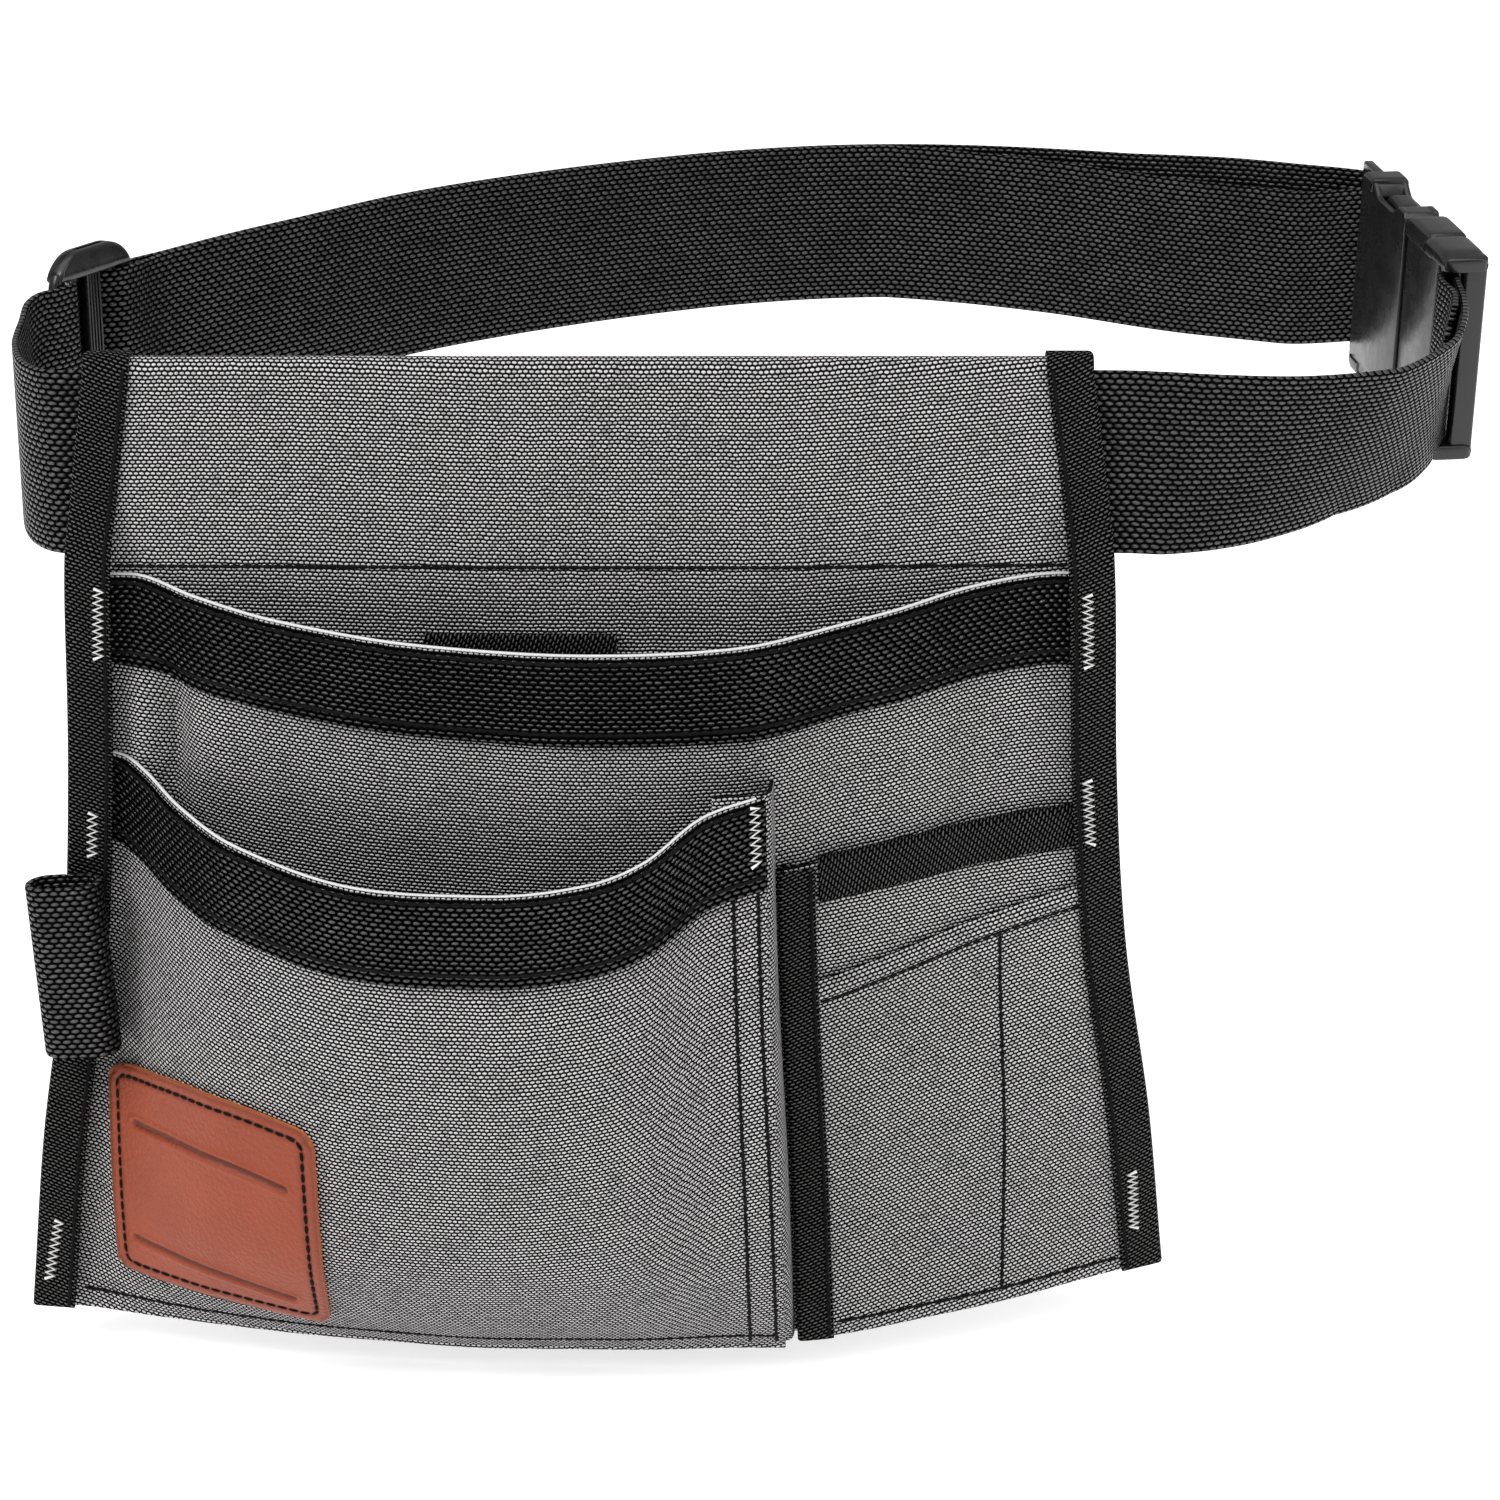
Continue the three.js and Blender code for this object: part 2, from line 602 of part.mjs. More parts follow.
// Waist line: the belt's middle, from the plug side of the buckle round the front, the left side
// and the back to the socket side. Across, back and rise are shares of the waist's width and
// depth and of the webbing's width, and lean is the top edge's outward tilt in degrees.
const waistLine = [
  { across: 0.497, back: -0.068, rise: 0.005, lean: 0 },
  { across: 0.482, back: -0.168, rise: -0.03, lean: 8 },
  { across: 0.452, back: -0.268, rise: -0.085, lean: 20 },
  { across: 0.406, back: -0.368, rise: -0.1, lean: 25 },
  { across: 0.348, back: -0.444, rise: -0.085, lean: 16 },
  { across: 0.302, back: -0.482, rise: -0.06, lean: 7 },
  { across: 0.266, back: -0.4985, rise: -0.04, lean: 0 },
  { across: 0.24, back: -0.5, rise: frontRise, lean: 0 },
  { across: 0.096, back: -0.5, rise: frontRise, lean: 0 },
  { across: -0.144, back: -0.5, rise: frontRise, lean: 0 },
  { across: -0.38, back: -0.5, rise: frontRise, lean: 0 },
  { across: -0.43, back: -0.5, rise: frontRise, lean: 0 },
  { across: -0.444, back: -0.498, rise: frontRise, lean: 0 },
  { across: -0.463, back: -0.458, rise: -0.035, lean: 0 },
  { across: -0.4775, back: -0.38, rise: -0.03, lean: 0 },
  { across: -0.483, back: -0.29, rise: -0.01, lean: 0 },
  { slider: -0.72 },
  { slider: -0.45 },
  { slider: 0.45 },
  { slider: 0.72 },
  { across: -0.375, back: 0.045, rise: 0.095, lean: 0 },
  { across: -0.322, back: 0.12, rise: 0.13, lean: 0 },
  { across: -0.255, back: 0.22, rise: 0.165, lean: 0 },
  { across: -0.18, back: 0.308, rise: 0.185, lean: 0 },
  { across: -0.091, back: 0.396, rise: 0.195, lean: 0 },
  { across: -0.007, back: 0.46, rise: 0.2, lean: 0 },
  { across: 0.077, back: 0.496, rise: 0.2, lean: 0 },
  { across: 0.156, back: 0.496, rise: 0.2, lean: 0 },
  { across: 0.245, back: 0.464, rise: 0.2, lean: 0 },
  { across: 0.344, back: 0.412, rise: 0.19, lean: 0 },
  { across: 0.413, back: 0.364, rise: 0.175, lean: 0 },
  { across: 0.464, back: 0.328, rise: 0.155, lean: 0 },
];
const sliderPlace = { across: -0.454, back: -0.12, rise: 0.05 };
const sliderTurn = 62;

const sliderCentre = new THREE.Vector3(sliderPlace.across * waistWidth, sliderPlace.back * waistDepth,
  sliderPlace.rise * webbingWidth);
const sliderAlong = new THREE.Vector3(Math.cos(THREE.MathUtils.degToRad(sliderTurn)),
  Math.sin(THREE.MathUtils.degToRad(sliderTurn)), 0);

const waistCurve = new THREE.CatmullRomCurve3(waistLine.map((row) => {
  if (row.slider !== undefined) {
    return sliderCentre.clone().addScaledVector(sliderAlong, row.slider * sliderLength);
  }
  return new THREE.Vector3(row.across * waistWidth, row.back * waistDepth, row.rise * webbingWidth);
}), false, 'centripetal');
waistCurve.arcLengthDivisions = 1200;
const beltLength = waistCurve.getLength();
const upward = new THREE.Vector3(0, 0, 1);

function leanAt(u) {
  const place = waistCurve.getUtoTmapping(u) * (waistLine.length - 1);
  const row = Math.min(waistLine.length - 2, Math.floor(place));
  const lean = (index) => waistLine[index].lean ?? 0;
  return THREE.MathUtils.degToRad(lerp(lean(row), lean(row + 1), place - row));
}

// Where the belt's line passes nearest the middle of the slider.
function nearestLength(target) {
  let best = 0;
  let bestDistance = Infinity;
  for (const u of steps(2000)) {
    const distance = waistCurve.getPointAt(u).distanceTo(target);
    if (distance < bestDistance) {
      best = u * beltLength;
      bestDistance = distance;
    }
  }
  return best;
}

const sliderAt = nearestLength(sliderCentre);
const barWrap = barThickness * Math.SQRT1_2 + gap + webbingThickness / 2;
const layer = webbingThickness / 2 + gap / 2;
const sliderWrap = sliderThickness / 2 + gap + webbingThickness / 2;

// How far out from the waist line each layer runs, by its distance along the belt. The outer
// layer stands a little high in the buckle's slot, and the inner one hangs below it.
const slotMiddle = (sliderCentreBar / 2 + sliderLength / 2 - sliderBar) / 2;
const mainLayer = [
  { at: 0, out: barWrap },
  { at: 8, out: barWrap },
  { at: 2 * wrapLength, out: 0 },
  { at: sliderAt - sliderLength, out: 0 },
  { at: sliderAt - sliderLength / 2, out: sliderWrap },
  { at: sliderAt - slotMiddle - 2, out: sliderWrap },
  { at: sliderAt - sliderCentreBar / 2, out: sliderWrap + 2 * layer },
  { at: sliderAt + slotMiddle - 2, out: sliderWrap + 2 * layer },
  { at: sliderAt + sliderLength / 2 - sliderBar, out: sliderWrap + 0.4 * layer },
  { at: sliderAt + sliderLength / 2, out: sliderWrap },
  { at: sliderAt + sliderLength, out: layer },
  { at: beltLength - wrapLength, out: layer },
  { at: beltLength - 4, out: barWrap },
  { at: beltLength, out: barWrap },
];
const returnLayer = [
  { at: sliderAt - sliderCentreBar / 2, out: sliderWrap },
  { at: sliderAt + sliderCentreBar / 2, out: sliderWrap },
  { at: sliderAt + sliderLength / 2 - sliderBar, out: -sliderWrap },
  { at: sliderAt + sliderLength / 2, out: -sliderWrap },
  { at: sliderAt + sliderLength, out: -layer },
  { at: beltLength - wrapLength, out: -layer },
  { at: beltLength - 4, out: -barWrap },
  { at: beltLength, out: -barWrap },
];
const foldedLayer = [
  { at: 0, out: -barWrap },
  { at: 6, out: -barWrap },
  { at: foldedEnd, out: -barWrap - 0.2 },
];

const mainDrop = [
  { at: beltLength - 3 * wrapLength, drop: 0 },
  { at: beltLength - wrapLength / 2, drop: -slotPlay },
  { at: beltLength, drop: -slotPlay },
];
const returnDrop = [
  { at: beltLength - 6 * wrapLength, drop: 0 },
  { at: beltLength - 4 * wrapLength, drop: innerHang / 2 },
  { at: beltLength - 2 * wrapLength, drop: innerHang },
  { at: beltLength - wrapLength, drop: innerHang },
  { at: beltLength, drop: slotPlay },
];

// The buckle slopes down from its socket side. Near it the webbing stands square to its bars.
const squareness = [
  { at: 0, square: 1 },
  { at: wrapLength / 2, square: 1 },
  { at: 2 * wrapLength, square: 0 },
  { at: beltLength - 2 * wrapLength, square: 0 },
  { at: beltLength - wrapLength / 2, square: 1 },
  { at: beltLength, square: 1 },
];
const buckleChord = waistCurve.getPointAt(0).sub(waistCurve.getPointAt(1));
const buckleLevel = buckleChord.clone().setZ(0);
const buckleSlope = buckleLevel.clone().multiplyScalar(buckleChord.z / buckleLevel.lengthSq());

function beltFrame(at) {
  const u = Math.min(1, Math.max(0, at / beltLength));
  const point = waistCurve.getPointAt(u);
  const ahead = waistCurve.getTangentAt(u).setZ(0).normalize();
  const outward = new THREE.Vector3(-ahead.y, ahead.x, 0);
  const lean = leanAt(u);
  const square = upward.clone().addScaledVector(buckleSlope, -readTable(squareness, 'at', 'square', at));
  const up = square.normalize().multiplyScalar(Math.cos(lean)).addScaledVector(outward, Math.sin(lean));
  return { point, ahead, outward, up };
}

function beltRow(at, out, drop = 0) {
  const { point, outward, up } = beltFrame(at);
  const middle = point.addScaledVector(outward, out).addScaledVector(up, -drop);
  return [-0.5, 0.5].map((share) => middle.clone().addScaledVector(up, share * webbingWidth));
}

// A half turn of webbing round a bar, on the far side of the bar from the strap.
function barTurn(at, side, play) {
  const { point, ahead, outward, up } = beltFrame(at);
  return steps(6).map((turned) => {
    const angle = Math.PI * turned;
    const middle = point.clone()
      .addScaledVector(outward, side * barWrap * Math.cos(angle))
      .addScaledVector(ahead, side * barWrap * Math.sin(angle))
      .addScaledVector(up, lerp(play, -play, turned));
    return [-0.5, 0.5].map((share) => middle.clone().addScaledVector(up, share * webbingWidth));
  });
}

function stations(from, to, spacing) {
  const count = Math.max(1, Math.round(Math.abs(to - from) / spacing));
  return steps(count).map((share) => lerp(from, to, share));
}

const layerAt = (table, at) => readTable(table, 'at', 'out', at);
const dropAt = (table, at) => readTable(table, 'at', 'drop', at);
const sliderSpan = [sliderAt - sliderLength, sliderAt + sliderLength];
const mainRun = stations(0, sliderSpan[0], 11).slice(1)
  .concat(stations(sliderSpan[0], sliderSpan[1], 3).slice(1))
  .concat(stations(sliderSpan[1], beltLength, 11).slice(1, -1));
const returnRun = stations(beltLength, sliderSpan[1], 11).slice(1)
  .concat(stations(sliderSpan[1], sliderAt + sliderLength / 2, 6).slice(1))
  .concat(stations(sliderAt + sliderLength / 2, sliderAt - sliderCentreBar / 2, 1.6).slice(1));
const beltGrid = stations(foldedEnd, 0, 6).slice(0, -1).map((at) => beltRow(at, layerAt(foldedLayer, at)))
  .concat(barTurn(0, -1, 0))
  .concat(mainRun.map((at) => beltRow(at, layerAt(mainLayer, at), dropAt(mainDrop, at))))
  .concat(barTurn(beltLength, 1, slotPlay))
  .concat(returnRun.map((at) => beltRow(at, layerAt(returnLayer, at), dropAt(returnDrop, at))));
addWall('belt_webbing', beltGrid, webbingThickness, webbingFinish);

// Places a flat hard piece: its length runs along the belt and its height stands up.
function standPiece(mesh, centre, along) {
  const up = upward.clone().addScaledVector(along, -upward.dot(along)).normalize();
  const basis = new THREE.Matrix4().makeBasis(along, up, along.clone().cross(up));
  mesh.quaternion.setFromRotationMatrix(basis);
  mesh.position.copy(centre);
}

// Slider: a frame with two slots and a centre bar.
function addSlider() {
  const half = sliderLength / 2;
  const slot = webbingWidth / 2 + sliderLift + gap;
  const frame = roundedOutline(-half, -sliderHeight / 2, half, sliderHeight / 2, sliderLength / 4);
  for (const side of [-1, 1]) {
    const near = side * sliderCentreBar / 2;
    const far = side * (half - sliderBar);
    const hole = new THREE.Path();
    frame.holes.push(roundedOutline(Math.min(near, far), -slot, Math.max(near, far), slot, slotCorner, hole));
  }
  const middle = sliderCentre.clone().addScaledVector(upward, sliderLift);
  standPiece(addMesh('slider', slab(frame, sliderThickness), plasticFinish), middle, sliderAlong);
}

addSlider();


// Buckle halves: x runs from each half's webbing bar towards the joint between them.
const bodyStart = slotLength + barThickness / 2;
const buckleSide = buckleHeight / 2;

function barFrame() {
  const bar = barThickness / 2;
  const high = slotHeight / 2;
  const frame = roundedOutline(-bar, -buckleSide, bodyStart + slotCorner, buckleSide, slotCorner);
  frame.holes.push(roundedOutline(bar, -high, slotLength, high, slotCorner, new THREE.Path()));
  return toSolid(slab(frame, barThickness));
}

function box(left, bottom, right, top, thickness) {
  const low = Math.min(bottom, top);
  const high = Math.max(bottom, top);
  const geometry = new THREE.BoxGeometry(right - left, high - low, thickness);
  return toSolid(geometry.translate((left + right) / 2, (low + high) / 2, 0));
}

function femaleSolid() {
  const body = roundedOutline(bodyStart, -buckleSide, femaleLength, buckleSide, shoulderCorner);
  const inside = buckleThickness - 2 * mouthWall;
  const side = buckleSide - sideWall;
  const past = 1;
  let solid = barFrame().add(toSolid(slab(body, buckleThickness)));
  solid = solid.subtract(box(bodyStart + mouthWall, -side, femaleLength + past, side, inside));
  for (const hand of [-1, 1]) {
    const reach = hand * (side - sideWall + mouthWall);
    solid = solid.subtract(box(bodyStart + windowStart, reach, femaleLength - windowEnd,
      hand * (buckleSide + past), inside));
  }
  return solid;
}

function maleSolid(shoulder) {
  const reach = shoulder + femaleLength - bodyStart - 3 * mouthWall;
  const thick = buckleThickness - 2 * mouthWall - 2 * gap;
  const base = roundedOutline(bodyStart, -buckleSide, shoulder, buckleSide, shoulderCorner);
  const root = shoulder - 1;
  let solid = barFrame().add(toSolid(slab(base, buckleThickness)));
  solid = solid.add(box(root, -tongueHeight / 2, reach, tongueHeight / 2, thick));
  for (const hand of [-1, 1]) {
    const outer = hand * (buckleSide - sideWall - gap);
    const inner = outer - hand * prongHeight;
    const catchTip = hand * (buckleSide - 1);
    solid = solid.add(box(root, inner, reach, outer, thick));
    solid = solid.add(box(shoulder + catchStart, inner, reach - catchEnd, catchTip, thick));
  }
  return solid;
}

function addBuckle() {
  const female = waistCurve.getPointAt(1);
  const male = waistCurve.getPointAt(0);
  const along = buckleChord.clone().normalize();
  const femaleMesh = addMesh('buckle_female', toGeometry(femaleSolid()), plasticFinish);
  const shoulder = buckleChord.length() - femaleLength - gap;
  const maleMesh = addMesh('buckle_male', toGeometry(maleSolid(shoulder)), plasticFinish);
  standPiece(femaleMesh, female, along);
  standPiece(maleMesh, male, along.clone().negate());
}

addBuckle();

export default part;
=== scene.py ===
# %% [markdown]
# # A carpenter's nail apron
# The apron hangs in front of the waist on a belt of black webbing. The belt runs through a tunnel
# of canvas, closes with a side-release buckle and is set to length by a slider.
# Two deep pockets, two small ones, black binding tapes and a leather patch are sewn on it.
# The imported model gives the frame: every piece here stands where its solid stands.

import math
from functools import partial

import bpy
import numpy as np
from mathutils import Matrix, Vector
from mathutils.geometry import tessellate_polygon


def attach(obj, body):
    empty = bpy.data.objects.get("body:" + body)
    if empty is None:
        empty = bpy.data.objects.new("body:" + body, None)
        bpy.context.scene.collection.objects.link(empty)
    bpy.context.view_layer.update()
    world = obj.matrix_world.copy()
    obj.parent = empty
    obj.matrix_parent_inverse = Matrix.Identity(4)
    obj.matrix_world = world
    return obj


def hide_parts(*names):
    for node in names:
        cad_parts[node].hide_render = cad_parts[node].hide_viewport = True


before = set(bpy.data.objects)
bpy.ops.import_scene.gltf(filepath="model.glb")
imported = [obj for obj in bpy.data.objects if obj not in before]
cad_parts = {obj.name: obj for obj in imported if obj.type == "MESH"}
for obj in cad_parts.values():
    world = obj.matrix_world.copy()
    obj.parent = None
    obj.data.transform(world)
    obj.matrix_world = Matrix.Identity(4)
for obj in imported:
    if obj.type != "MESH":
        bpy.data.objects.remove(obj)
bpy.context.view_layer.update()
MM = 0.001


def new_object(name, data):
    thing = bpy.data.objects.new(name, data)
    bpy.context.scene.collection.objects.link(thing)
    return thing


print("nodes in the frame:", sorted(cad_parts))

# %% [markdown]
# ## The camera
# The photograph looks down on the apron by 20 degrees, straight from the front. The size of the
# waist and the spread of its front and back give the distance and the focal length.

# %% Camera
CAMERA_PLACE = (0.0, -1.0931, 0.2698)
CAMERA_TILT = 70
CAMERA_LENS = 90.8

camera_data = bpy.data.cameras.new("camera")
camera_data.lens = CAMERA_LENS
camera_data.sensor_width = 36
camera = new_object("camera", camera_data)
camera.location = CAMERA_PLACE
camera.rotation_euler = (math.radians(CAMERA_TILT), 0, 0)
bpy.context.scene.camera = camera
print("camera", CAMERA_PLACE, "lens", CAMERA_LENS)

# %% [markdown]
# ## Helpers for shader nodes
# Most finishes here are woven. A few short functions add a node, link what is given to its
# sockets and hand back the node, so that each material reads as a list of steps.

# %% Node helpers


def add(tree, kind, inputs=None, **settings):
    node = tree.nodes.new(kind)
    for name, value in settings.items():
        setattr(node, name, value)
    for name, value in (inputs or {}).items():
        socket = node.inputs[name]
        if isinstance(value, bpy.types.NodeSocket):
            tree.links.new(value, socket)
        else:
            socket.default_value = value
    return node


def maths(operation, *values):
    tree = next(value for value in values if isinstance(value, bpy.types.NodeSocket)).id_data
    return add(tree, "ShaderNodeMath", dict(enumerate(values)), operation=operation).outputs[0]


def blend_colours(tree, factor, first, second):
    inputs = {0: factor, 6: first, 7: second}
    return add(tree, "ShaderNodeMix", inputs, data_type="RGBA").outputs[2]


def noise(tree, place, scale, detail):
    inputs = {"Vector": place, "Scale": scale, "Detail": detail}
    return add(tree, "ShaderNodeTexNoise", inputs).outputs["Fac"]


def bump(tree, shader, height, distance, strength=1.0):
    inputs = {"Height": height, "Distance": distance, "Strength": strength}
    link(add(tree, "ShaderNodeBump", inputs).outputs[0], shader.inputs["Normal"])


def grey(value):
    return (value, value, value, 1)


def new_group(name, inputs, outputs):
    tree = bpy.data.node_groups.new(name, "ShaderNodeTree")
    for label, kind, value in inputs:
        tree.interface.new_socket(label, in_out="INPUT", socket_type=kind).default_value = value
    for label, kind in outputs:
        tree.interface.new_socket(label, in_out="OUTPUT", socket_type=kind)
    return tree, tree.nodes.new("NodeGroupInput").outputs, tree.nodes.new("NodeGroupOutput").inputs


def link(value, socket):
    socket.id_data.links.new(value, socket)


plus, minus, times, over, times_plus, floor, fraction = [
    partial(maths, operation)
    for operation in ("ADD", "SUBTRACT", "MULTIPLY", "DIVIDE", "MULTIPLY_ADD", "FLOOR", "FRACT")
]
print("node helpers ready")

# %% [markdown]
# ## Woven threads
# Canvas, webbing and tape are all crossings of two sets of threads, and from outside one sees
# short rounded dots of one thread in a brick pattern. One group makes them all: it cuts the
# piece's own UV map, which is in metres, into cells, shifts every other row by half a cell and
# puts a rounded dot in each. Pitch, length and height of the dot are inputs.

# %% Group: woven cells
FLOAT = "NodeSocketFloat"
WOBBLE = 0.7 * MM

woven, given, out = new_group(
    "woven cells",
    [
        ("Pitch", FLOAT, 1.4 * MM),
        ("Row", FLOAT, 1.0 * MM),
        ("Length", FLOAT, 0.9),
        ("Height", FLOAT, 0.9),
        ("Slant", FLOAT, 0.0),
        ("Softness", FLOAT, 0.4),
    ],
    [("Thread", FLOAT), ("Relief", FLOAT), ("Variation", FLOAT)],
)
place = add(woven, "ShaderNodeUVMap", uv_map="cloth").outputs[0]
wobble = noise(woven, place, 220.0, 1.0)
axes = add(woven, "ShaderNodeSeparateXYZ", {0: place}).outputs
shift = times(minus(wobble, 0.5), WOBBLE)
along = plus(axes[0], shift)
up = plus(axes[1], times(along, given["Slant"]))
rows = over(plus(up, shift), given["Row"])
row = floor(rows)
columns = plus(over(along, given["Pitch"]), fraction(times(row, 0.5)))
dx = over(times(minus(fraction(columns), 0.5), 2.0), given["Length"])
dy = over(times(minus(fraction(rows), 0.5), 2.0), given["Height"])
reach = plus(times(dx, dx), times(dy, dy))
edges = {"From Min": minus(1.0, given["Softness"]), "From Max": plus(1.0, given["Softness"])}
edges |= {"Value": reach, "To Min": 1.0, "To Max": 0.0}
dot = add(woven, "ShaderNodeMapRange", edges, interpolation_type="SMOOTHSTEP").outputs[0]
dome = maths("MAXIMUM", minus(1.0, times(reach, 0.7)), 0.0)
cell = add(woven, "ShaderNodeCombineXYZ", {0: floor(columns), 1: row}).outputs[0]
chance = add(woven, "ShaderNodeTexWhiteNoise", {"Vector": cell}, noise_dimensions="2D").outputs[0]
for value, name in [(dot, "Thread"), (dome, "Relief"), (chance, "Variation")]:
    link(value, out[name])
print("woven cells:", len(woven.nodes), "nodes")

# %% [markdown]
# ## Use and grain
# Cloth is never one even tone: it is a little darker in some places, dustier in others and
# slightly crumpled. A second group gives a slow mottling and a fine crumple from Object
# coordinates, for cloth, leather and plastic. A third makes the pebbled grain of leather.

# %% Group: mottling
mottling, given, out = new_group(
    "mottling",
    [("Size", FLOAT, 60.0), ("Crumple", FLOAT, 160.0), ("Strength", FLOAT, 1.0)],
    [("Tone", FLOAT), ("Relief", FLOAT)],
)
place = add(mottling, "ShaderNodeTexCoord").outputs["Object"]
slow = noise(mottling, place, given["Size"], 3.0)
link(plus(times(minus(slow, 0.5), given["Strength"]), 1.0), out["Tone"])
link(noise(mottling, place, given["Crumple"], 2.0), out["Relief"])
print("mottling:", len(mottling.nodes), "nodes")

# %% Group: leather grain
grain, given, out = new_group(
    "leather grain",
    [("Scale", FLOAT, 900.0), ("Pores", FLOAT, 2600.0)],
    [("Relief", FLOAT), ("Pits", FLOAT)],
)
place = add(grain, "ShaderNodeTexCoord").outputs["Object"]
cells = {"Vector": place, "Scale": given["Scale"]}
pebbles = add(grain, "ShaderNodeTexVoronoi", cells, feature="SMOOTH_F1").outputs["Distance"]
pores = noise(grain, place, given["Pores"], 2.0)
link(plus(times(pebbles, -1.0), times(pores, 0.5)), out["Relief"])
link(pores, out["Pits"])
print("leather grain:", len(grain.nodes), "nodes")

# %% [markdown]
# ## The finishes
# Each cloth is the woven group with its own sizes. The canvas shows light dots of weft on dark
# warp, so it looks grey from afar. Webbing and tape are black yarn, and mostly their gloss draws
# the pattern. The relief of the threads goes to a Bump node.

# %% Function: woven finish


def group_node(tree, group, **inputs):
    node = tree.nodes.new("ShaderNodeGroup")
    node.node_tree = group
    for name, value in inputs.items():
        node.inputs[name].default_value = value
    return node.outputs


def new_material(name):
    material = bpy.data.materials.new(name)
    material.use_nodes = True
    tree = material.node_tree
    return material, tree, tree.nodes["Principled BSDF"]


def woven_finish(name, dark, light, cells, relief, roughness, shine, mottle=0.5, crumple=0.6):
    material, tree, shader = new_material(name)
    weave = group_node(tree, woven, **cells)
    wear = group_node(tree, mottling, Strength=mottle)
    spread = times_plus(weave["Variation"], 0.5, 0.72)
    bright = times(times(weave["Thread"], spread), wear["Tone"])
    link(blend_colours(tree, bright, dark, light), shader.inputs["Base Color"])
    bump(tree, shader, times_plus(wear["Relief"], crumple, weave["Relief"]), relief)
    link(times_plus(weave["Thread"], -roughness[1], roughness[0]), shader.inputs["Roughness"])
    link(times_plus(bright, shine[1], shine[0]), shader.inputs["Specular IOR Level"])
    return material


def dots(pitch, row, length, height, softness=0.35, slant=0.0):
    sizes = {"Pitch": pitch * MM, "Row": row * MM, "Length": length, "Height": height}
    return sizes | {"Slant": slant, "Softness": softness}


# %% Materials: cloths
canvas_finish = woven_finish("grey_canvas", grey(0.005), (0.6, 0.585, 0.59, 1),
                             dots(1.5, 1.05, 0.76, 0.64, 0.2), 0.45 * MM, (0.9, 0.1), (0.05, 0.2))
webbing_finish = woven_finish("black_webbing", grey(0.0015), grey(0.024),
                              dots(2.7, 1.5, 0.78, 0.66), 0.8 * MM, (0.75, 0.45), (0.01, 0.7), 0.8)
# The pocket bands are the belt's webbing in a darker copy: the darker yarn is painted shade, the finer
# weave is their own.
shaded_band_finish = woven_finish("shaded_black_band_webbing", grey(0.001), grey(0.012),
                           dots(2.5, 1.35, 0.72, 0.6), 0.7 * MM, (0.7, 0.46), (0.0, 0.75), 0.8)
tape_finish = woven_finish("black_binding_tape", grey(0.0015), (0.11, 0.108, 0.106, 1),
                           dots(1.6, 1.0, 0.72, 0.42, slant=0.32), 0.5 * MM, (0.8, 0.3), (0.01, 0.35), 0.6)
print("cloths:", canvas_finish.name, webbing_finish.name, shaded_band_finish.name, tape_finish.name)

# %% Materials: leather, plastic and threads
leather_finish, tree, shader = new_material("tan_leather")
skin = group_node(tree, grain)
worn = times(group_node(tree, mottling, Size=45.0, Strength=1.3)["Tone"], 0.5)
colour = blend_colours(tree, worn, (0.16, 0.019, 0.004, 1), (0.30, 0.050, 0.009, 1))
# The first tint is the leather's own lighter raw edge. The second, dark tint follows the dents as deep as
# they go: partly the leather's own darkening where pressed, partly painted shade in the rules, the stitch
# groove and along the outer edge.
for attribute, tint in [("cut_edge", (0.46, 0.13, 0.035, 1)), ("pressed_and_dent_shade", (0.05, 0.008, 0.003, 1))]:
    mask = add(tree, "ShaderNodeAttribute", attribute_name=attribute).outputs["Fac"]
    colour = blend_colours(tree, mask, colour, tint)
link(colour, shader.inputs["Base Color"])
link(times_plus(skin["Pits"], 0.25, 0.32), shader.inputs["Roughness"])
bump(tree, shader, skin["Relief"], 0.3 * MM)
shader.inputs["Specular IOR Level"].default_value = 0.35

plastic_finish, tree, shader = new_material("black_plastic")
wear = group_node(tree, mottling, Size=140.0, Crumple=240.0, Strength=1.0)
scuffed = blend_colours(tree, times(wear["Tone"], 0.5), grey(0.002), grey(0.008))
link(scuffed, shader.inputs["Base Color"])
link(times(wear["Tone"], 0.27), shader.inputs["Roughness"])
bump(tree, shader, wear["Relief"], 0.3 * MM, 0.3)


def thread_finish(name, colour, roughness, shine):
    material, tree, shader = new_material(name)
    twist = noise(tree, add(tree, "ShaderNodeTexCoord").outputs["Object"], 2500.0, 1.0)
    shade = tuple(0.6 * part for part in colour[:3]) + (1,)
    link(blend_colours(tree, twist, shade, colour), shader.inputs["Base Color"])
    bump(tree, shader, twist, 0.1 * MM, 0.6)
    shader.inputs["Roughness"].default_value = roughness
    shader.inputs["Specular IOR Level"].default_value = shine
    return material


black_thread = thread_finish("black_thread", grey(0.003), 0.8, 0.12)
white_thread = thread_finish("white_thread", (0.9, 0.9, 0.88, 1), 0.7, 0.4)
# The rolled pocket rims are canvas; their pale grey is painted highlight where light falls on the top of
# the roll.
rolled_rim_highlight = thread_finish("rolled_rim_painted_highlight", grey(0.72), 0.8, 0.4)
print("materials:", [material.name for material in bpy.data.materials])

# %% [markdown]
# ## Sizes
# The sizes are those of the solids, so that each cloth lies where its solid lies. The origin is
# the middle of the waist at the belt's mid height, X runs along the front and Y to the back.

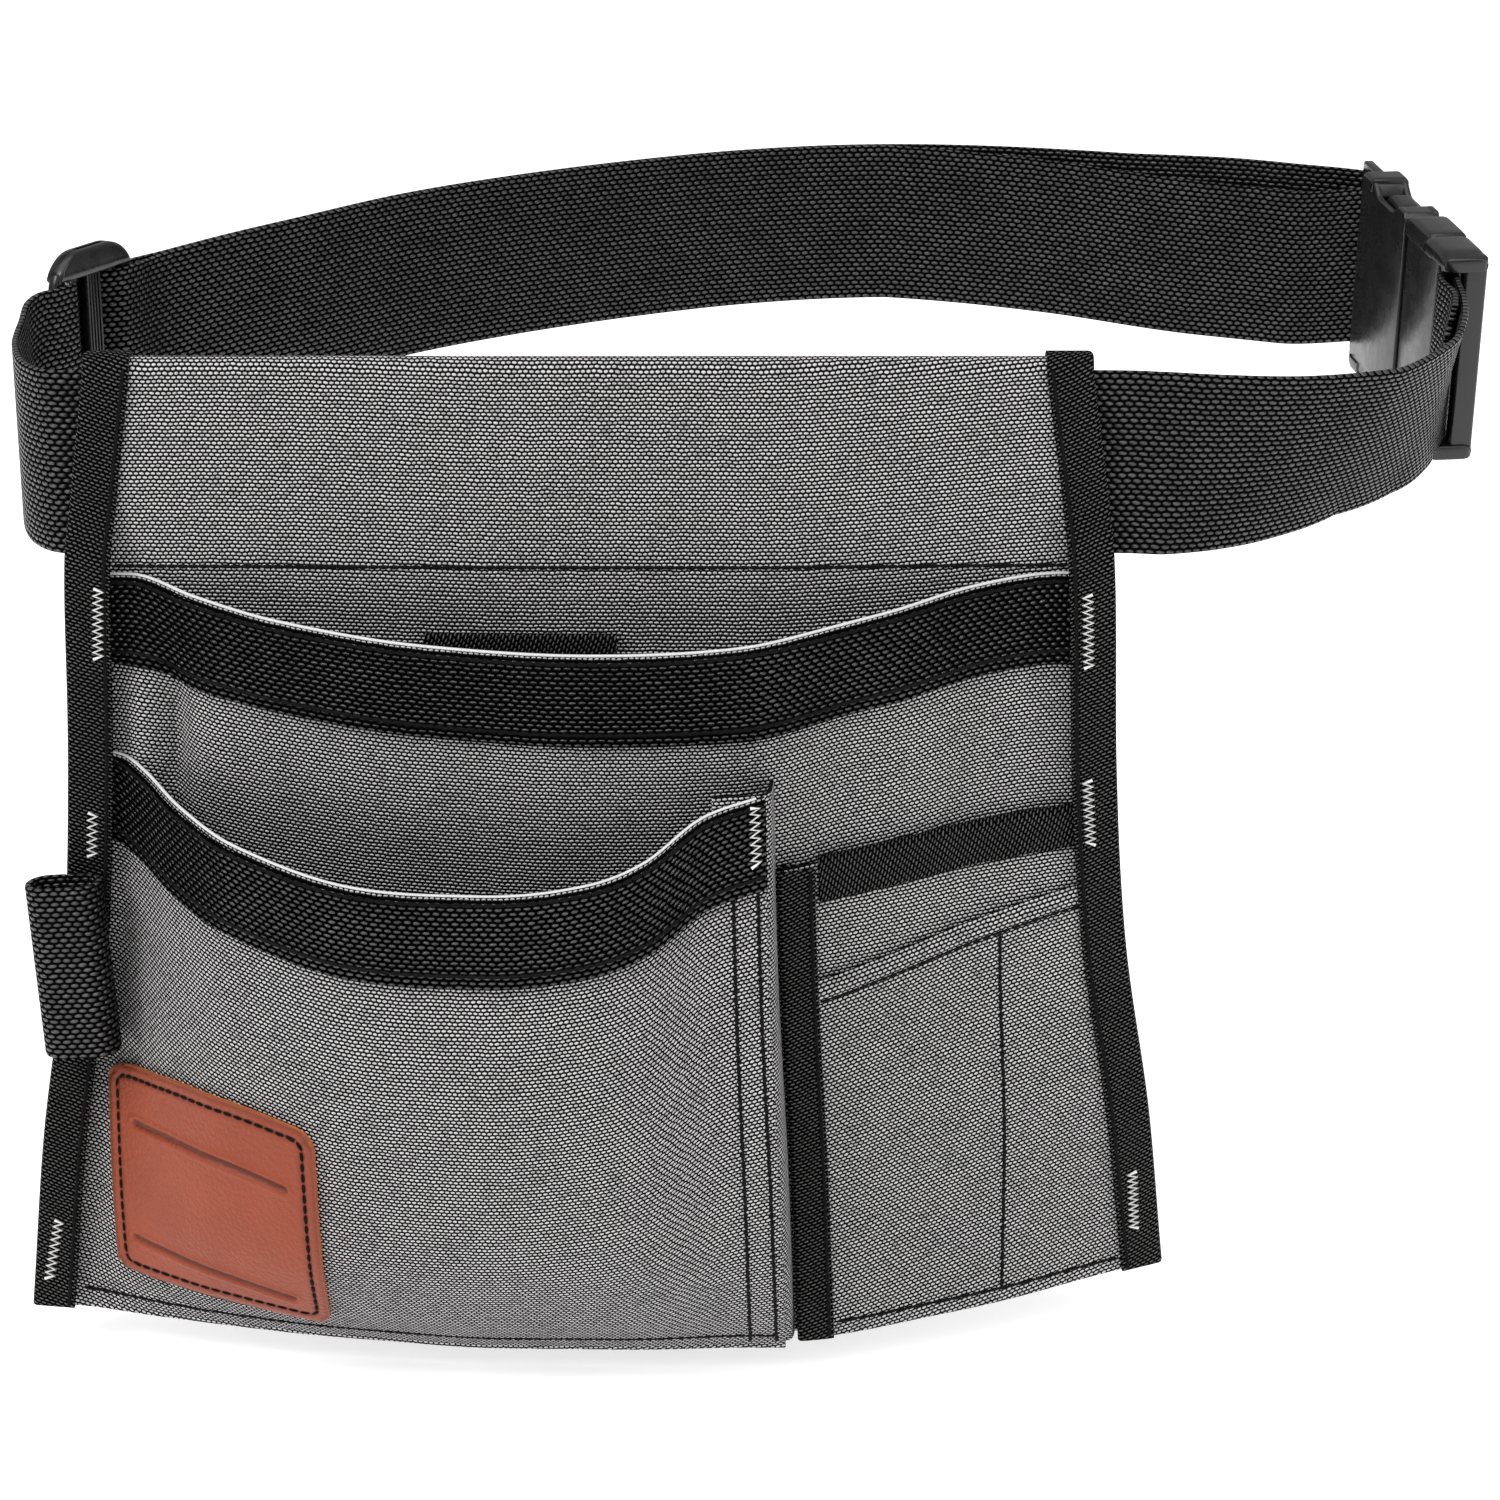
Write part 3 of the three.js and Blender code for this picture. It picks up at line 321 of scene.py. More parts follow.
# %% Sizes
WAIST_WIDTH = 416 * MM
WAIST_DEPTH = 250 * MM
WEBBING_WIDTH = 50 * MM
WEBBING = 1.8 * MM
FOLDED_END = 30 * MM
CANVAS = 1.2 * MM
TAPE = 1.0 * MM
BAND = 1.2 * MM
BAND_WIDTH = 25 * MM
GAP = 0.4 * MM
BINDING_WIDTH = 11 * MM
CENTRE_BINDING_WIDTH = 8.8 * MM
TOP_WIDTH = 265 * MM
HEM_WIDTH = 323 * MM
TOP_MIDDLE = -42.4 * MM
HEM_MIDDLE = -42.8 * MM
APRON_DROP = 250 * MM
TUNNEL_SEAM = 29 * MM
TUNNEL_FLAP = 12 * MM
HEM_BOW = 15 * MM
LARGE_RIM = 31 * MM
LARGE_SAG = 14 * MM
LARGE_SWELL = 25 * MM
NAIL_RIM = 80 * MM
NAIL_SAG = 23 * MM
NAIL_SWELL = 45 * MM
NAIL_SHARE = 0.665
GUSSET_HEM = 16 * MM
POCKET_INSET = 0.012
RIGHT_START = 0.68
SMALL_RIM = (106.5 * MM, 98 * MM)
PEN_RIM = (142 * MM, 119 * MM)
INNER_TOP = 48 * MM
INNER_BOTTOM = 150 * MM
INNER_SHARES = (0.34, 0.525)
INNER_BINDING = 8 * MM
FRONT_RISE = -0.03
GRAIN = 2.2 * MM
print("sizes ready, mesh spacing", GRAIN)

# %% [markdown]
# ## Reading a table
# The forms are short tables of shares. `read` gives a column at any place between its rows,
# joined by smooth cubic steps, for a whole array of places at once.

# %% Tables


def table(columns, rows):
    if isinstance(rows, str):
        rows = [row.split() for row in rows.strip().splitlines()]
    return dict(zip(columns.split(), np.array(rows, float).T))


def read(rows, column, at):
    places = next(iter(rows.values()))
    values = rows[column]
    steps = np.diff(values)
    slopes = np.zeros(len(values))
    slopes[0] = steps[0] / (places[1] - places[0])
    slopes[-1] = steps[-1] / (places[-1] - places[-2])
    run = (values[2:] - values[:-2]) / (places[2:] - places[:-2])
    slopes[1:-1] = np.where(steps[:-1] * steps[1:] > 0, run, 0)
    at = np.clip(at, places[0], places[-1])
    low = np.clip(np.searchsorted(places, at, side="left") - 1, 0, len(places) - 2)
    span = places[low + 1] - places[low]
    t = (at - places[low]) / span
    square = t * t
    cube = square * t
    start = values[low] * (2 * cube - 3 * square + 1) + slopes[low] * span * (cube - 2 * square + t)
    return start + values[low + 1] * (3 * square - 2 * cube) + slopes[low + 1] * span * (cube - square)


def mix(start, end, share):
    return start + (end - start) * share


HANG = table("down flare bow swing", """
     0.0  0.0  0.0  0.0
    0.17 0.22 0.08 0.02
     0.4 0.32  0.3 0.12
     0.6 0.48 0.56 0.32
     0.8 0.78  0.8 0.62
     1.0  1.0  1.0  1.0
""")
HEM_LINE = table("across forward drop", """
     0.0 -0.1  -0.2
     0.2 0.45 -0.13
    0.45  0.9   0.0
    0.65  1.0   0.0
     0.8  0.3 -0.15
     1.0 -1.0  -0.6
""")
LARGE_ACROSS = table("across swell", """
      0.0  0.0
    0.055  0.0
     0.12 0.28
      0.2 0.58
     0.33 0.87
      0.5  1.0
     0.64  0.9
     0.78  0.5
     0.87 0.16
    0.955  0.0
      1.0  0.0
""")
LARGE_DOWN = table("down swell", [(0, 1), (0.15, 0.95), (0.4, 0.62), (0.7, 0.25), (1, 0)])
NAIL_ACROSS = table("across depth dip", """
     0.0  0.0  0.0
    0.05  0.0 0.08
    0.09 0.12  0.2
    0.15  0.4 0.42
    0.24 0.72 0.64
     0.4 0.95 0.92
     0.6  1.0  1.0
    0.75 0.97 0.88
    0.83  0.9 0.66
    0.91 0.78 0.22
     1.0 0.71  0.0
""")
NAIL_DOWN = table("down depth", [(0, 1), (0.3, 1), (0.55, 0.95), (0.78, 0.76), (0.92, 0.44), (1, 0.16)])
print("tables:", len(HANG["down"]), "rows of hang,", len(NAIL_ACROSS["across"]), "of the nail pocket")

# %% [markdown]
# ## How the cloth hangs
# One function places every ply: a share across, a height and a depth in front of the panel give
# a point. It adds the flare, the bow of the hem and a shallow ripple that all plies share, so
# that they crumple together and stay clear of each other.

# %% Function: cloth point
TUNNEL_TOP = WEBBING_WIDTH * (0.5 + FRONT_RISE)
TUNNEL_REACH = CANVAS / 2 + GAP + TAPE + GAP + WEBBING / 2
FRONT_Y = -WAIST_DEPTH / 2 - TUNNEL_REACH
CLOTH_HEIGHT = TUNNEL_TOP + APRON_DROP


def down_share(z):
    return (TUNNEL_TOP - z) / CLOTH_HEIGHT


def panel_edge(z, side):
    flare = read(HANG, "flare", down_share(z))
    width = mix(TOP_WIDTH, HEM_WIDTH, flare) - 2 * (TAPE + GAP)
    return mix(TOP_MIDDLE, HEM_MIDDLE, flare) + side * width / 2


def ripple(across, z):
    slow = np.sin(9.1 * across + 31 * z) * np.sin(5.3 * across - 19 * z + 1.1)
    quick = np.sin(23 * across + 44 * z + 2.0) * np.sin(17 * across - 61 * z)
    fade = np.clip(-(z + TUNNEL_SEAM) / (40 * MM), 0, 1)
    return (0.9 * slow + 0.45 * quick) * MM * fade


def cloth_point(across, z, depth):
    across, z, depth = np.broadcast_arrays(across, z, depth)
    down = np.maximum(0, down_share(z))
    x = mix(panel_edge(z, -1), panel_edge(z, 1), across)
    forward = read(HEM_LINE, "forward", across)
    bow = np.where(forward >= 0, read(HANG, "bow", down), read(HANG, "swing", down))
    lift = read(HEM_LINE, "drop", across) * HEM_BOW * down * down
    y = FRONT_Y - forward * HEM_BOW * bow - depth - ripple(across, z)
    return np.stack([x, y, z - lift], axis=-1)


LARGE_PLY = CANVAS + GAP
BAND_PLY = CANVAS / 2 + GAP + BAND / 2
NAIL_PLY = LARGE_PLY + CANVAS + GAP
SMALL_BACK_TAPE = LARGE_PLY + CANVAS / 2 + GAP + TAPE / 2
SMALL_PLY = SMALL_BACK_TAPE + TAPE / 2 + GAP + CANVAS / 2
PEN_PLY = SMALL_PLY + CANVAS + GAP
COVER_PLY = PEN_PLY + CANVAS / 2 + GAP + TAPE / 2
BINDING_BACK = CANVAS / 2 + GAP + TAPE / 2
print("front of the cloth at y", round(FRONT_Y, 4))

# %% [markdown]
# ## From a grid to a cloth wall
# A cloth is a grid of points down its middle. `wall` moves it half a thickness each way along
# its normals, closes it round the edge and writes a UV map in metres of cloth, which the weave
# follows. A small bevel rounds the cut edge, as a hem or a selvedge is round.

# %% Function: cloth wall


def normals(grid):
    along = np.gradient(grid, axis=0)
    across = np.gradient(grid, axis=1)
    normal = np.cross(across, along)
    return normal / np.linalg.norm(normal, axis=-1, keepdims=True)


def arc_lengths(grid):
    def lengths(points):
        step = np.linalg.norm(np.diff(points, axis=0), axis=-1)
        return np.concatenate([np.zeros((1,) + step.shape[1:]), np.cumsum(step, axis=0)])

    down = lengths(grid)
    across = lengths(grid.swapaxes(0, 1)).T
    middle = across[:, across.shape[1] // 2][:, None]
    return across - middle, down


def new_piece(name, points, faces, material, uv=None, sharp=50):
    mesh = bpy.data.meshes.new(name)
    mesh.from_pydata(points.tolist(), [], faces)
    mesh.validate()
    mesh.materials.append(material)
    if uv is not None:
        loops = np.zeros(len(mesh.loops), np.int32)
        mesh.loops.foreach_get("vertex_index", loops)
        layer = mesh.uv_layers.new(name="cloth")
        layer.data.foreach_set("uv", np.asarray(uv, np.float32)[loops].ravel())
    mesh.shade_smooth()
    mesh.set_sharp_from_angle(angle=math.radians(sharp))
    return new_object(name, mesh)


def wall(name, grid, thickness, material, edge):
    rows, columns = grid.shape[:2]
    out = normals(grid) * thickness / 2
    points = np.concatenate([(grid + out).reshape(-1, 3), (grid - out).reshape(-1, 3)])
    index = np.arange(rows * columns).reshape(rows, columns)
    behind = index + rows * columns
    quads = [
        np.stack([index[:-1, :-1], index[:-1, 1:], index[1:, 1:], index[1:, :-1]], -1),
        np.stack([behind[:-1, :-1], behind[1:, :-1], behind[1:, 1:], behind[:-1, 1:]], -1),
        np.stack([index[:-1, 0], index[1:, 0], behind[1:, 0], behind[:-1, 0]], -1),
        np.stack([index[:-1, -1], behind[:-1, -1], behind[1:, -1], index[1:, -1]], -1),
        np.stack([index[0, :-1], behind[0, :-1], behind[0, 1:], index[0, 1:]], -1),
        np.stack([index[-1, :-1], index[-1, 1:], behind[-1, 1:], behind[-1, :-1]], -1),
    ]
    faces = np.concatenate([quad.reshape(-1, 4) for quad in quads]).tolist()
    across, down = arc_lengths(grid)
    uv = np.stack([across, -down], -1).reshape(-1, 2)
    piece = new_piece(name, points, faces, material, np.concatenate([uv, uv]))
    if edge:
        round_edges(piece, edge)
    print(name, len(faces), "faces")
    return piece


def round_edges(piece, width):
    bevel = piece.modifiers.new("rounded edge", "BEVEL")
    bevel.width = width
    bevel.segments = 2
    bevel.limit_method = "ANGLE"
    bevel.angle_limit = math.radians(50)


def offset(grid, distance):
    return grid + normals(grid) * distance


def declare(piece, node, grid):
    across, down = arc_lengths(grid)
    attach(piece, "root")
    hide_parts(node)


def sheet(name, node, grid, cloth, edge=0.35 * MM):
    thickness, finish, slot = cloth
    piece = wall(name, grid, thickness, finish, edge)
    declare(piece, node, grid)
    return piece


def spaced(start, end, spacing=GRAIN):
    return np.linspace(start, end, max(2, int(round(abs(end - start) / spacing)) + 1))


CLOTH = (CANVAS, canvas_finish, "canvas")
BELT_CLOTH = (WEBBING, webbing_finish, "webbing")
BAND_CLOTH = (BAND, shaded_band_finish, "webbing")
TAPE_CLOTH = (TAPE, tape_finish, "binding_tape")
TAPE_EDGE = 0.25 * MM
POCKET_EDGE = 0.5 * MM
print("wall ready")

# %% [markdown]
# ## Back panel
# The panel runs from the hem up the front, over the belt and down behind it to a flap that is
# sewn to the front just under the belt. That makes the tunnel. One long grid follows this path.

# %% Back panel


def panel_path():
    behind = 2 * TUNNEL_REACH
    closed = CANVAS + 2 * TAPE + 3 * GAP
    path = [(z, 0, 0) for z in spaced(-APRON_DROP, TUNNEL_TOP)[:-1]]
    for turn in np.linspace(0, math.pi, 13):
        over, back = TUNNEL_REACH * math.sin(turn), TUNNEL_REACH * (1 - math.cos(turn))
        path.append((TUNNEL_TOP + over, back, turn))
    bottom = TUNNEL_TOP - WEBBING_WIDTH - GAP / 2
    path += [(z, behind, math.pi) for z in spaced(TUNNEL_TOP, bottom)[1:]]
    path += [(z, closed, math.pi) for z in spaced(-TUNNEL_SEAM - GAP, -TUNNEL_SEAM - TUNNEL_FLAP)]
    return np.array(path)


PANEL_ROWS = panel_path()


def panel_point(across):
    z, back = PANEL_ROWS[:, :1], PANEL_ROWS[:, 1:2]
    point = cloth_point(across, np.minimum(z, TUNNEL_TOP), -back)
    point[..., 2] += np.maximum(0, z - TUNNEL_TOP)
    return point


panel_across = np.linspace(0, 1, 140)[None, :]
panel_grid = panel_point(panel_across)
sheet("apron_back_panel", "back_panel", panel_grid, CLOTH)

# %% [markdown]
# ## Side bindings
# A black tape is folded round each side of the panel, from the hem up over the tunnel and down
# its back. Below the tunnel it also covers the ends of the pockets, so its front leg steps out.

# %% Side bindings
LEG_STEPS = 6
LEG = np.linspace(0, 1, LEG_STEPS + 1)
cover_rows = [(-TUNNEL_SEAM + step * MM, cover) for step, cover in [(-5, 1), (3, 1), (19, 0)]]
BINDING_COVER = table("z cover", cover_rows + [(TUNNEL_TOP, 0)])


def fold_section(width, front, back):
    bend = GAP + TAPE / 2
    legs = [(width * share, front) for share in LEG[::-1]]
    turn = np.linspace(0, math.pi, 9)[1:-1]
    middle = (front + back) / 2
    half = (front - back) / 2
    corner = [(-bend * min(1, 1.6 * math.sin(a)), middle + half * math.cos(a)) for a in turn]
    return legs + corner + [(width * share, back) for share in LEG]


def binding_grid(side):
    z, turn = PANEL_ROWS[:, 0], PANEL_ROWS[:, 2]
    edge_share = 0 if side < 0 else 1
    edge = panel_point(np.array([[edge_share]]))[:, 0]
    inside = panel_point(np.array([[edge_share - side * 0.04]]))[:, 0]
    inward = inside - edge
    inward /= np.linalg.norm(inward, axis=-1, keepdims=True)
    outward = np.stack([0 * turn, -np.cos(turn), np.sin(turn)], -1)
    cover = np.where(turn == 0, read(BINDING_COVER, "cover", np.minimum(z, TUNNEL_TOP)), 0)
    rows = []
    for row in range(len(z)):
        ahead = mix(BINDING_BACK, COVER_PLY, cover[row])
        section = np.array(fold_section(BINDING_WIDTH, ahead, -BINDING_BACK))
        rows.append(edge[row] + section[:, :1] * inward[row] + section[:, 1:] * outward[row])
    return np.array(rows)


binding_grids = {}
for side, word in [(-1, "left"), (1, "right")]:
    binding_grids[word] = grid = binding_grid(side)
    sheet(f"side_binding_{word}", f"binding_{word}", grid, TAPE_CLOTH, TAPE_EDGE)

# %% [markdown]
# ## Large pocket and its band
# The large pocket spans the whole apron and swells forward. Its rim sags in the middle. A band
# of webbing is sewn along it, a little below the rim, so that a line of canvas shows above.

# %% Large pocket
BAND_START = 0.4
BAND_ROWS = 13
FOLDS = [
    (0.066, -72 * MM, 0.014, 22 * MM, 3.6 * MM),
    (0.102, -75 * MM, 0.012, 22 * MM, -4.4 * MM),
    (0.142, -74 * MM, 0.02, 22 * MM, 2 * MM),
    (0.66, -70 * MM, 0.035, 30 * MM, 1.8 * MM),
    (0.74, -80 * MM, 0.03, 26 * MM, -2.2 * MM),
    (0.83, -75 * MM, 0.03, 24 * MM, 1.2 * MM),
]


def large_depth(across, z):
    down = np.clip((-z - LARGE_RIM) / (APRON_DROP - LARGE_RIM), 0, 1)
    swell = read(LARGE_ACROSS, "swell", across) * read(LARGE_DOWN, "swell", down)
    fold = 0
    for middle, height, wide, high, deep in FOLDS:
        fold = fold + deep * np.exp(-(((across - middle) / wide) ** 2) - ((z - height) / high) ** 2)
    return LARGE_PLY + LARGE_SWELL * swell + fold


def large_rim(across):
    return -LARGE_RIM - LARGE_SAG * read(LARGE_ACROSS, "swell", across)


def band_rows(grid):
    rows = offset(grid, -BAND_PLY)[:BAND_ROWS]
    rows[0] = mix(rows[0], rows[1], BAND_START)
    return rows


def fall(rim, hem, rows):
    band = np.linspace(0, 1, BAND_ROWS)[:, None]
    below = np.linspace(0, 1, rows)[1:, None]
    band_end = rim - BAND_WIDTH
    return np.concatenate([mix(rim, band_end, band), mix(band_end, hem, below)])


large_across = np.linspace(POCKET_INSET, 1 - POCKET_INSET, 136)[None, :]
large_z = fall(large_rim(large_across), -APRON_DROP, 84)
large_grid = cloth_point(large_across, large_z, large_depth(large_across, large_z))
sheet("large_pocket", "pocket_large", large_grid, CLOTH, POCKET_EDGE)
large_band = band_rows(large_grid)
sheet("large_pocket_band", "pocket_large_band", large_band, BAND_CLOTH)

# %% [markdown]
# ## Inner pocket
# A small pocket lies flat on the panel inside the large one. Only its bound top edge shows.

# %% Inner pocket


def rim_tape(name, node, across, rim, depth_at, height, back_leg):
    leg = CANVAS / 2 + GAP + TAPE / 2
    over = GAP + TAPE / 2
    section = [(-height * share, leg) for share in LEG[::-1]]
    turns = np.linspace(0, math.pi if back_leg else math.pi / 2, 9 if back_leg else 5)[1:]
    section += [(over * math.sin(a), leg * math.cos(a)) for a in turns]
    if back_leg:
        section += [(-height * share, -leg) for share in LEG[1:]]
    columns = []
    for up, out in section:
        z = rim + up
        columns.append(cloth_point(across, z, depth_at(across, rim + min(0, up)) + out))
    grid = np.stack(columns, axis=1)
    sheet(name, node, grid, TAPE_CLOTH, TAPE_EDGE)
    return grid


inner_across = np.linspace(INNER_SHARES[0], INNER_SHARES[1], 28)
inner_z = spaced(-INNER_TOP, -INNER_BOTTOM, 3 * MM)[:, None]
inner_grid = cloth_point(inner_across[None, :], inner_z, LARGE_PLY)
sheet("inner_pocket_cloth", "inner_pocket", inner_grid, CLOTH)
rim_tape("inner_pocket_edge", "inner_pocket_binding", inner_across, -INNER_TOP + 0 * inner_across,
         lambda across, z: LARGE_PLY + 0 * across, INNER_BINDING, False)

# %% [markdown]
# ## Nail pocket
# The nail pocket is a bellows: its front starts flat at the left binding, comes forward and ends
# in a squared right side that stands clear of the apron. Its hem turns back to close the floor.
# A gusset turns round the right side.

# %% Nail pocket
FLOOR_DROP = 1.3 * MM
NAIL_ROWS = 62


def nail_depth(share, z):
    down = np.clip((-z - NAIL_RIM) / (APRON_DROP - NAIL_RIM), 0, 1)
    return NAIL_PLY + NAIL_SWELL * read(NAIL_ACROSS, "depth", share) * read(NAIL_DOWN, "depth", down)


def nail_rim(share):
    return -NAIL_RIM - NAIL_SAG * read(NAIL_ACROSS, "dip", share)


def nail_point(share, z, extra=0.0):
    return cloth_point(mix(POCKET_INSET, NAIL_SHARE, share), z, nail_depth(share, z) + extra)


nail_share = np.linspace(0, 1, 118)
nail_share = mix(nail_share, nail_share**2, 0.35)[None, :]
nail_z = fall(nail_rim(nail_share), -APRON_DROP, NAIL_ROWS)
nail_grid = nail_point(nail_share, nail_z)
nail_across = mix(POCKET_INSET, NAIL_SHARE, nail_share)
hem_front = nail_depth(nail_share, -APRON_DROP)
hem_back = large_depth(nail_across, -APRON_DROP)
floor_share = np.array([0.06, 0.3, 0.55, 0.78, 1])[:, None]
floor_rows = cloth_point(nail_across, -APRON_DROP - FLOOR_DROP, mix(hem_front, hem_back, floor_share))
nail_cloth = np.concatenate([nail_grid, floor_rows])
sheet("nail_pocket", "pocket_nail", nail_cloth, CLOTH, POCKET_EDGE)
nail_band = band_rows(nail_grid)
sheet("nail_pocket_band", "pocket_nail_band", nail_band, BAND_CLOTH)

# %% Gusset


def gusset_grid():
    z = fall(nail_rim(np.array([[1.0]])), -APRON_DROP, NAIL_ROWS)[:, 0]
    edge = nail_point(1.0, z)
    floor = cloth_point(NAIL_SHARE, z, large_depth(NAIL_SHARE, z) + CANVAS / 2 + GAP)
    behind = CANVAS + GAP
    room = floor[:, 1] - edge[:, 1] - behind
    hem_share = GUSSET_HEM / (NAIL_SHARE * HEM_WIDTH)
    hem = [nail_point(1 - share * hem_share, z, -behind) for share in (1, 0.75, 0.5, 0.25)]
    turn = table("back along", [(0, 0), (0.18, 1), (0.5, 1.4), (1, 1.7)])
    side = []
    for back in np.linspace(0, 1, 15):
        along = float(read(turn, "along", back)) * CANVAS
        side.append(np.stack([edge[:, 0] + along, edge[:, 1] + behind + back * room, edge[:, 2]], -1))
    return np.stack(hem + side, axis=1)


sheet("nail_pocket_side", "pocket_nail_gusset", gusset_grid(), CLOTH)

# %% [markdown]
# ## Small pocket, pen pocket and their bindings
# At the right two flat pockets lie on the large one. The upper is bound along its rim, and a
# folded tape down their left side holds both.

# %% Right pockets
HEM_FOLD = 6 * MM
HEM_ROLL = 0.9 * MM
RIGHT_COLUMNS = 44


def right_share(across):
    return (across - RIGHT_START) / (1 - RIGHT_START)


def over_large(ply):
    return lambda across, z: cloth_point(across, z, large_depth(across, z) + ply - LARGE_PLY)


def right_grid(rims, ply, roll=0.0):
    across = np.linspace(RIGHT_START, 1 - POCKET_INSET, RIGHT_COLUMNS)[None, :]
    rim = -mix(*rims, right_share(across))
    top = mix(rim, rim - HEM_FOLD, np.linspace(0, 1, 14)[:, None])
    z = np.concatenate([top, mix(rim - HEM_FOLD, -APRON_DROP, np.linspace(0, 1, 56)[1:, None])])
    fold = (rim - z) / HEM_FOLD
    raised = np.clip(np.sin(math.pi * fold / 1.1), 0, 1) - 0.5 * np.exp(-(((fold - 1.06) / 0.12) ** 2))
    return over_large(ply + np.where(fold < 1.4, roll * raised, 0))(across, z)


small_grid = right_grid(SMALL_RIM, SMALL_PLY)
sheet("small_pocket", "pocket_small", small_grid, CLOTH)
pen_grid = right_grid(PEN_RIM, PEN_PLY, HEM_ROLL)
sheet("pen_pocket", "pocket_pen", pen_grid, CLOTH, 0.45 * MM)

small_start = RIGHT_START + (CENTRE_BINDING_WIDTH + GAP) / TOP_WIDTH
small_across = np.linspace(small_start, 1 - POCKET_INSET, RIGHT_COLUMNS)
small_rim = -mix(*SMALL_RIM, right_share(small_across))
small_edge = rim_tape("small_pocket_edge", "pocket_small_binding", small_across, small_rim,
                      lambda across, z: large_depth(across, z) + SMALL_PLY - LARGE_PLY, BINDING_WIDTH, True)

# %% Centre binding


def centre_grid():
    z = spaced(-SMALL_RIM[0] + GAP, -APRON_DROP)
    edge = cloth_point(RIGHT_START, z, large_depth(RIGHT_START, z) - LARGE_PLY)
    width = panel_edge(z, 1) - panel_edge(z, -1)
    columns = []
    for along, out in fold_section(CENTRE_BINDING_WIDTH, COVER_PLY, SMALL_BACK_TAPE):
        across = RIGHT_START + along / width
        point = cloth_point(across, z, large_depth(across, z) - LARGE_PLY + out)
        point[:, 0] = edge[:, 0] + along
        columns.append(point)
    return np.stack(columns, axis=1)


centre = centre_grid()
sheet("centre_binding_tape", "centre_binding", centre, TAPE_CLOTH, TAPE_EDGE)

# %% [markdown]
# ## Leather patch
# A rounded patch of tan leather is sewn to the nail pocket. It bends with the pocket's front, has
# a lighter cut edge, two plain pressed rules and a line of stitches that sinks in a little.

# %% Leather patch
PATCH_WIDTH = 61 * MM
PATCH_HEIGHT = 63 * MM
PATCH = 1.6 * MM
PATCH_CORNER = 5 * MM
PATCH_DROP = 171.5 * MM
PATCH_INSET = 15.5 * MM
PATCH_SLOPE = 0.09
PATCH_STITCH = 3.2 * MM
PATCH_ARCH = (5.2 * MM, 1.3 * MM)
PATCH_TILT = (-2 * MM, 4.2 * MM)
PATCH_POINTS = 150
PRESSED = 0.9 * MM
RULES = [(0.15, 0.86, 0.25, 0.3), (0.12, 0.85, 0.8, 0.86)]
patch_left = panel_edge(-PATCH_DROP, -1) + PATCH_INSET


def patch_surface(along, down):
    across, depth = along / PATCH_WIDTH, down / PATCH_HEIGHT
    arch = mix(*PATCH_ARCH, depth) * np.sin(math.pi * across) + mix(*PATCH_TILT, across) * (1 - depth)
    z = -PATCH_DROP - PATCH_SLOPE * along - down + arch
    across = (patch_left + along - panel_edge(z, -1)) / (panel_edge(z, 1) - panel_edge(z, -1))
    return nail_point((across - POCKET_INSET) / (NAIL_SHARE - POCKET_INSET), z)


def corner_inset(down, border):
    radius = PATCH_CORNER - border
    short = np.maximum(0, radius - (np.minimum(down, PATCH_HEIGHT - down) - border))
    return border + radius - np.sqrt(np.maximum(0, radius**2 - np.minimum(short, radius) ** 2))


def bell(away, width, power=2):
    return np.exp(-((away / (width * MM)) ** power)) * MM


def patch_dents(along, down):
    dent = 0 * along
    for start, end, left, right in RULES:
        share = np.clip((along / PATCH_WIDTH - start) / (end - start), 0, 1)
        rule = mix(start, end, share) * PATCH_WIDTH, mix(left, right, share) * PATCH_HEIGHT
        away = np.hypot(along - rule[0], down - rule[1])
        dent = dent + 0.75 * bell(away, 0.85, 4) - 0.35 * bell(away - 1.8 * MM, 0.6)
    inset = corner_inset(down, PATCH_STITCH)
    side = np.minimum(along - inset, PATCH_WIDTH - inset - along)
    border = np.minimum(side, np.minimum(down, PATCH_HEIGHT - down) - PATCH_STITCH)
    return dent + 0.4 * bell(border, 0.8) + 0.45 * bell(border + PATCH_STITCH, 1.0)


patch_down = np.linspace(0, 1, PATCH_POINTS)
patch_down = (patch_down - 0.06 * np.sin(2 * math.pi * patch_down) / math.pi)[:, None] * PATCH_HEIGHT
inset = corner_inset(patch_down, 0)
patch_along = mix(inset, PATCH_WIDTH - inset, np.linspace(0, 1, PATCH_POINTS)[None, :])
patch_grid = offset(patch_surface(patch_along, patch_down), -(CANVAS / 2 + 2 * GAP + PATCH / 2))[:, ::-1]
leather_patch = wall("leather_patch_tan", patch_grid, PATCH, leather_finish, 0)
mesh = leather_patch.data
front_count = len(mesh.vertices) // 2
dents = patch_dents(patch_along, patch_down + 0 * patch_along)[:, ::-1]
points = np.zeros(len(mesh.vertices) * 3)
mesh.vertices.foreach_get("co", points)
points[: 3 * front_count] -= (normals(patch_grid) * dents[..., None]).ravel()
mesh.vertices.foreach_set("co", points)
rim = np.zeros(patch_grid.shape[:2])
rim[[0, -1]] = 1
rim[:, [0, -1]] = 1
# Share of the dark tint, from the depth of each dent: partly pressed leather, partly painted shade.
depth_share = np.clip(dents.ravel() / PRESSED, 0, 0.75)
for label, front, back in [("pressed_and_dent_shade", depth_share, 0), ("cut_edge", 0.8 * rim.ravel(), 1)]:
    values = np.concatenate([front, np.full(front_count, back)])
    mesh.attributes.new(label, "FLOAT", "POINT").data.foreach_set("value", values)
round_edges(leather_patch, 0.4 * MM)
declare(leather_patch, "leather_patch", patch_grid)

# %% [markdown]
# ## Tool loop
# A ring of belt webbing stands upright at the left binding and holds a hammer or a pencil.

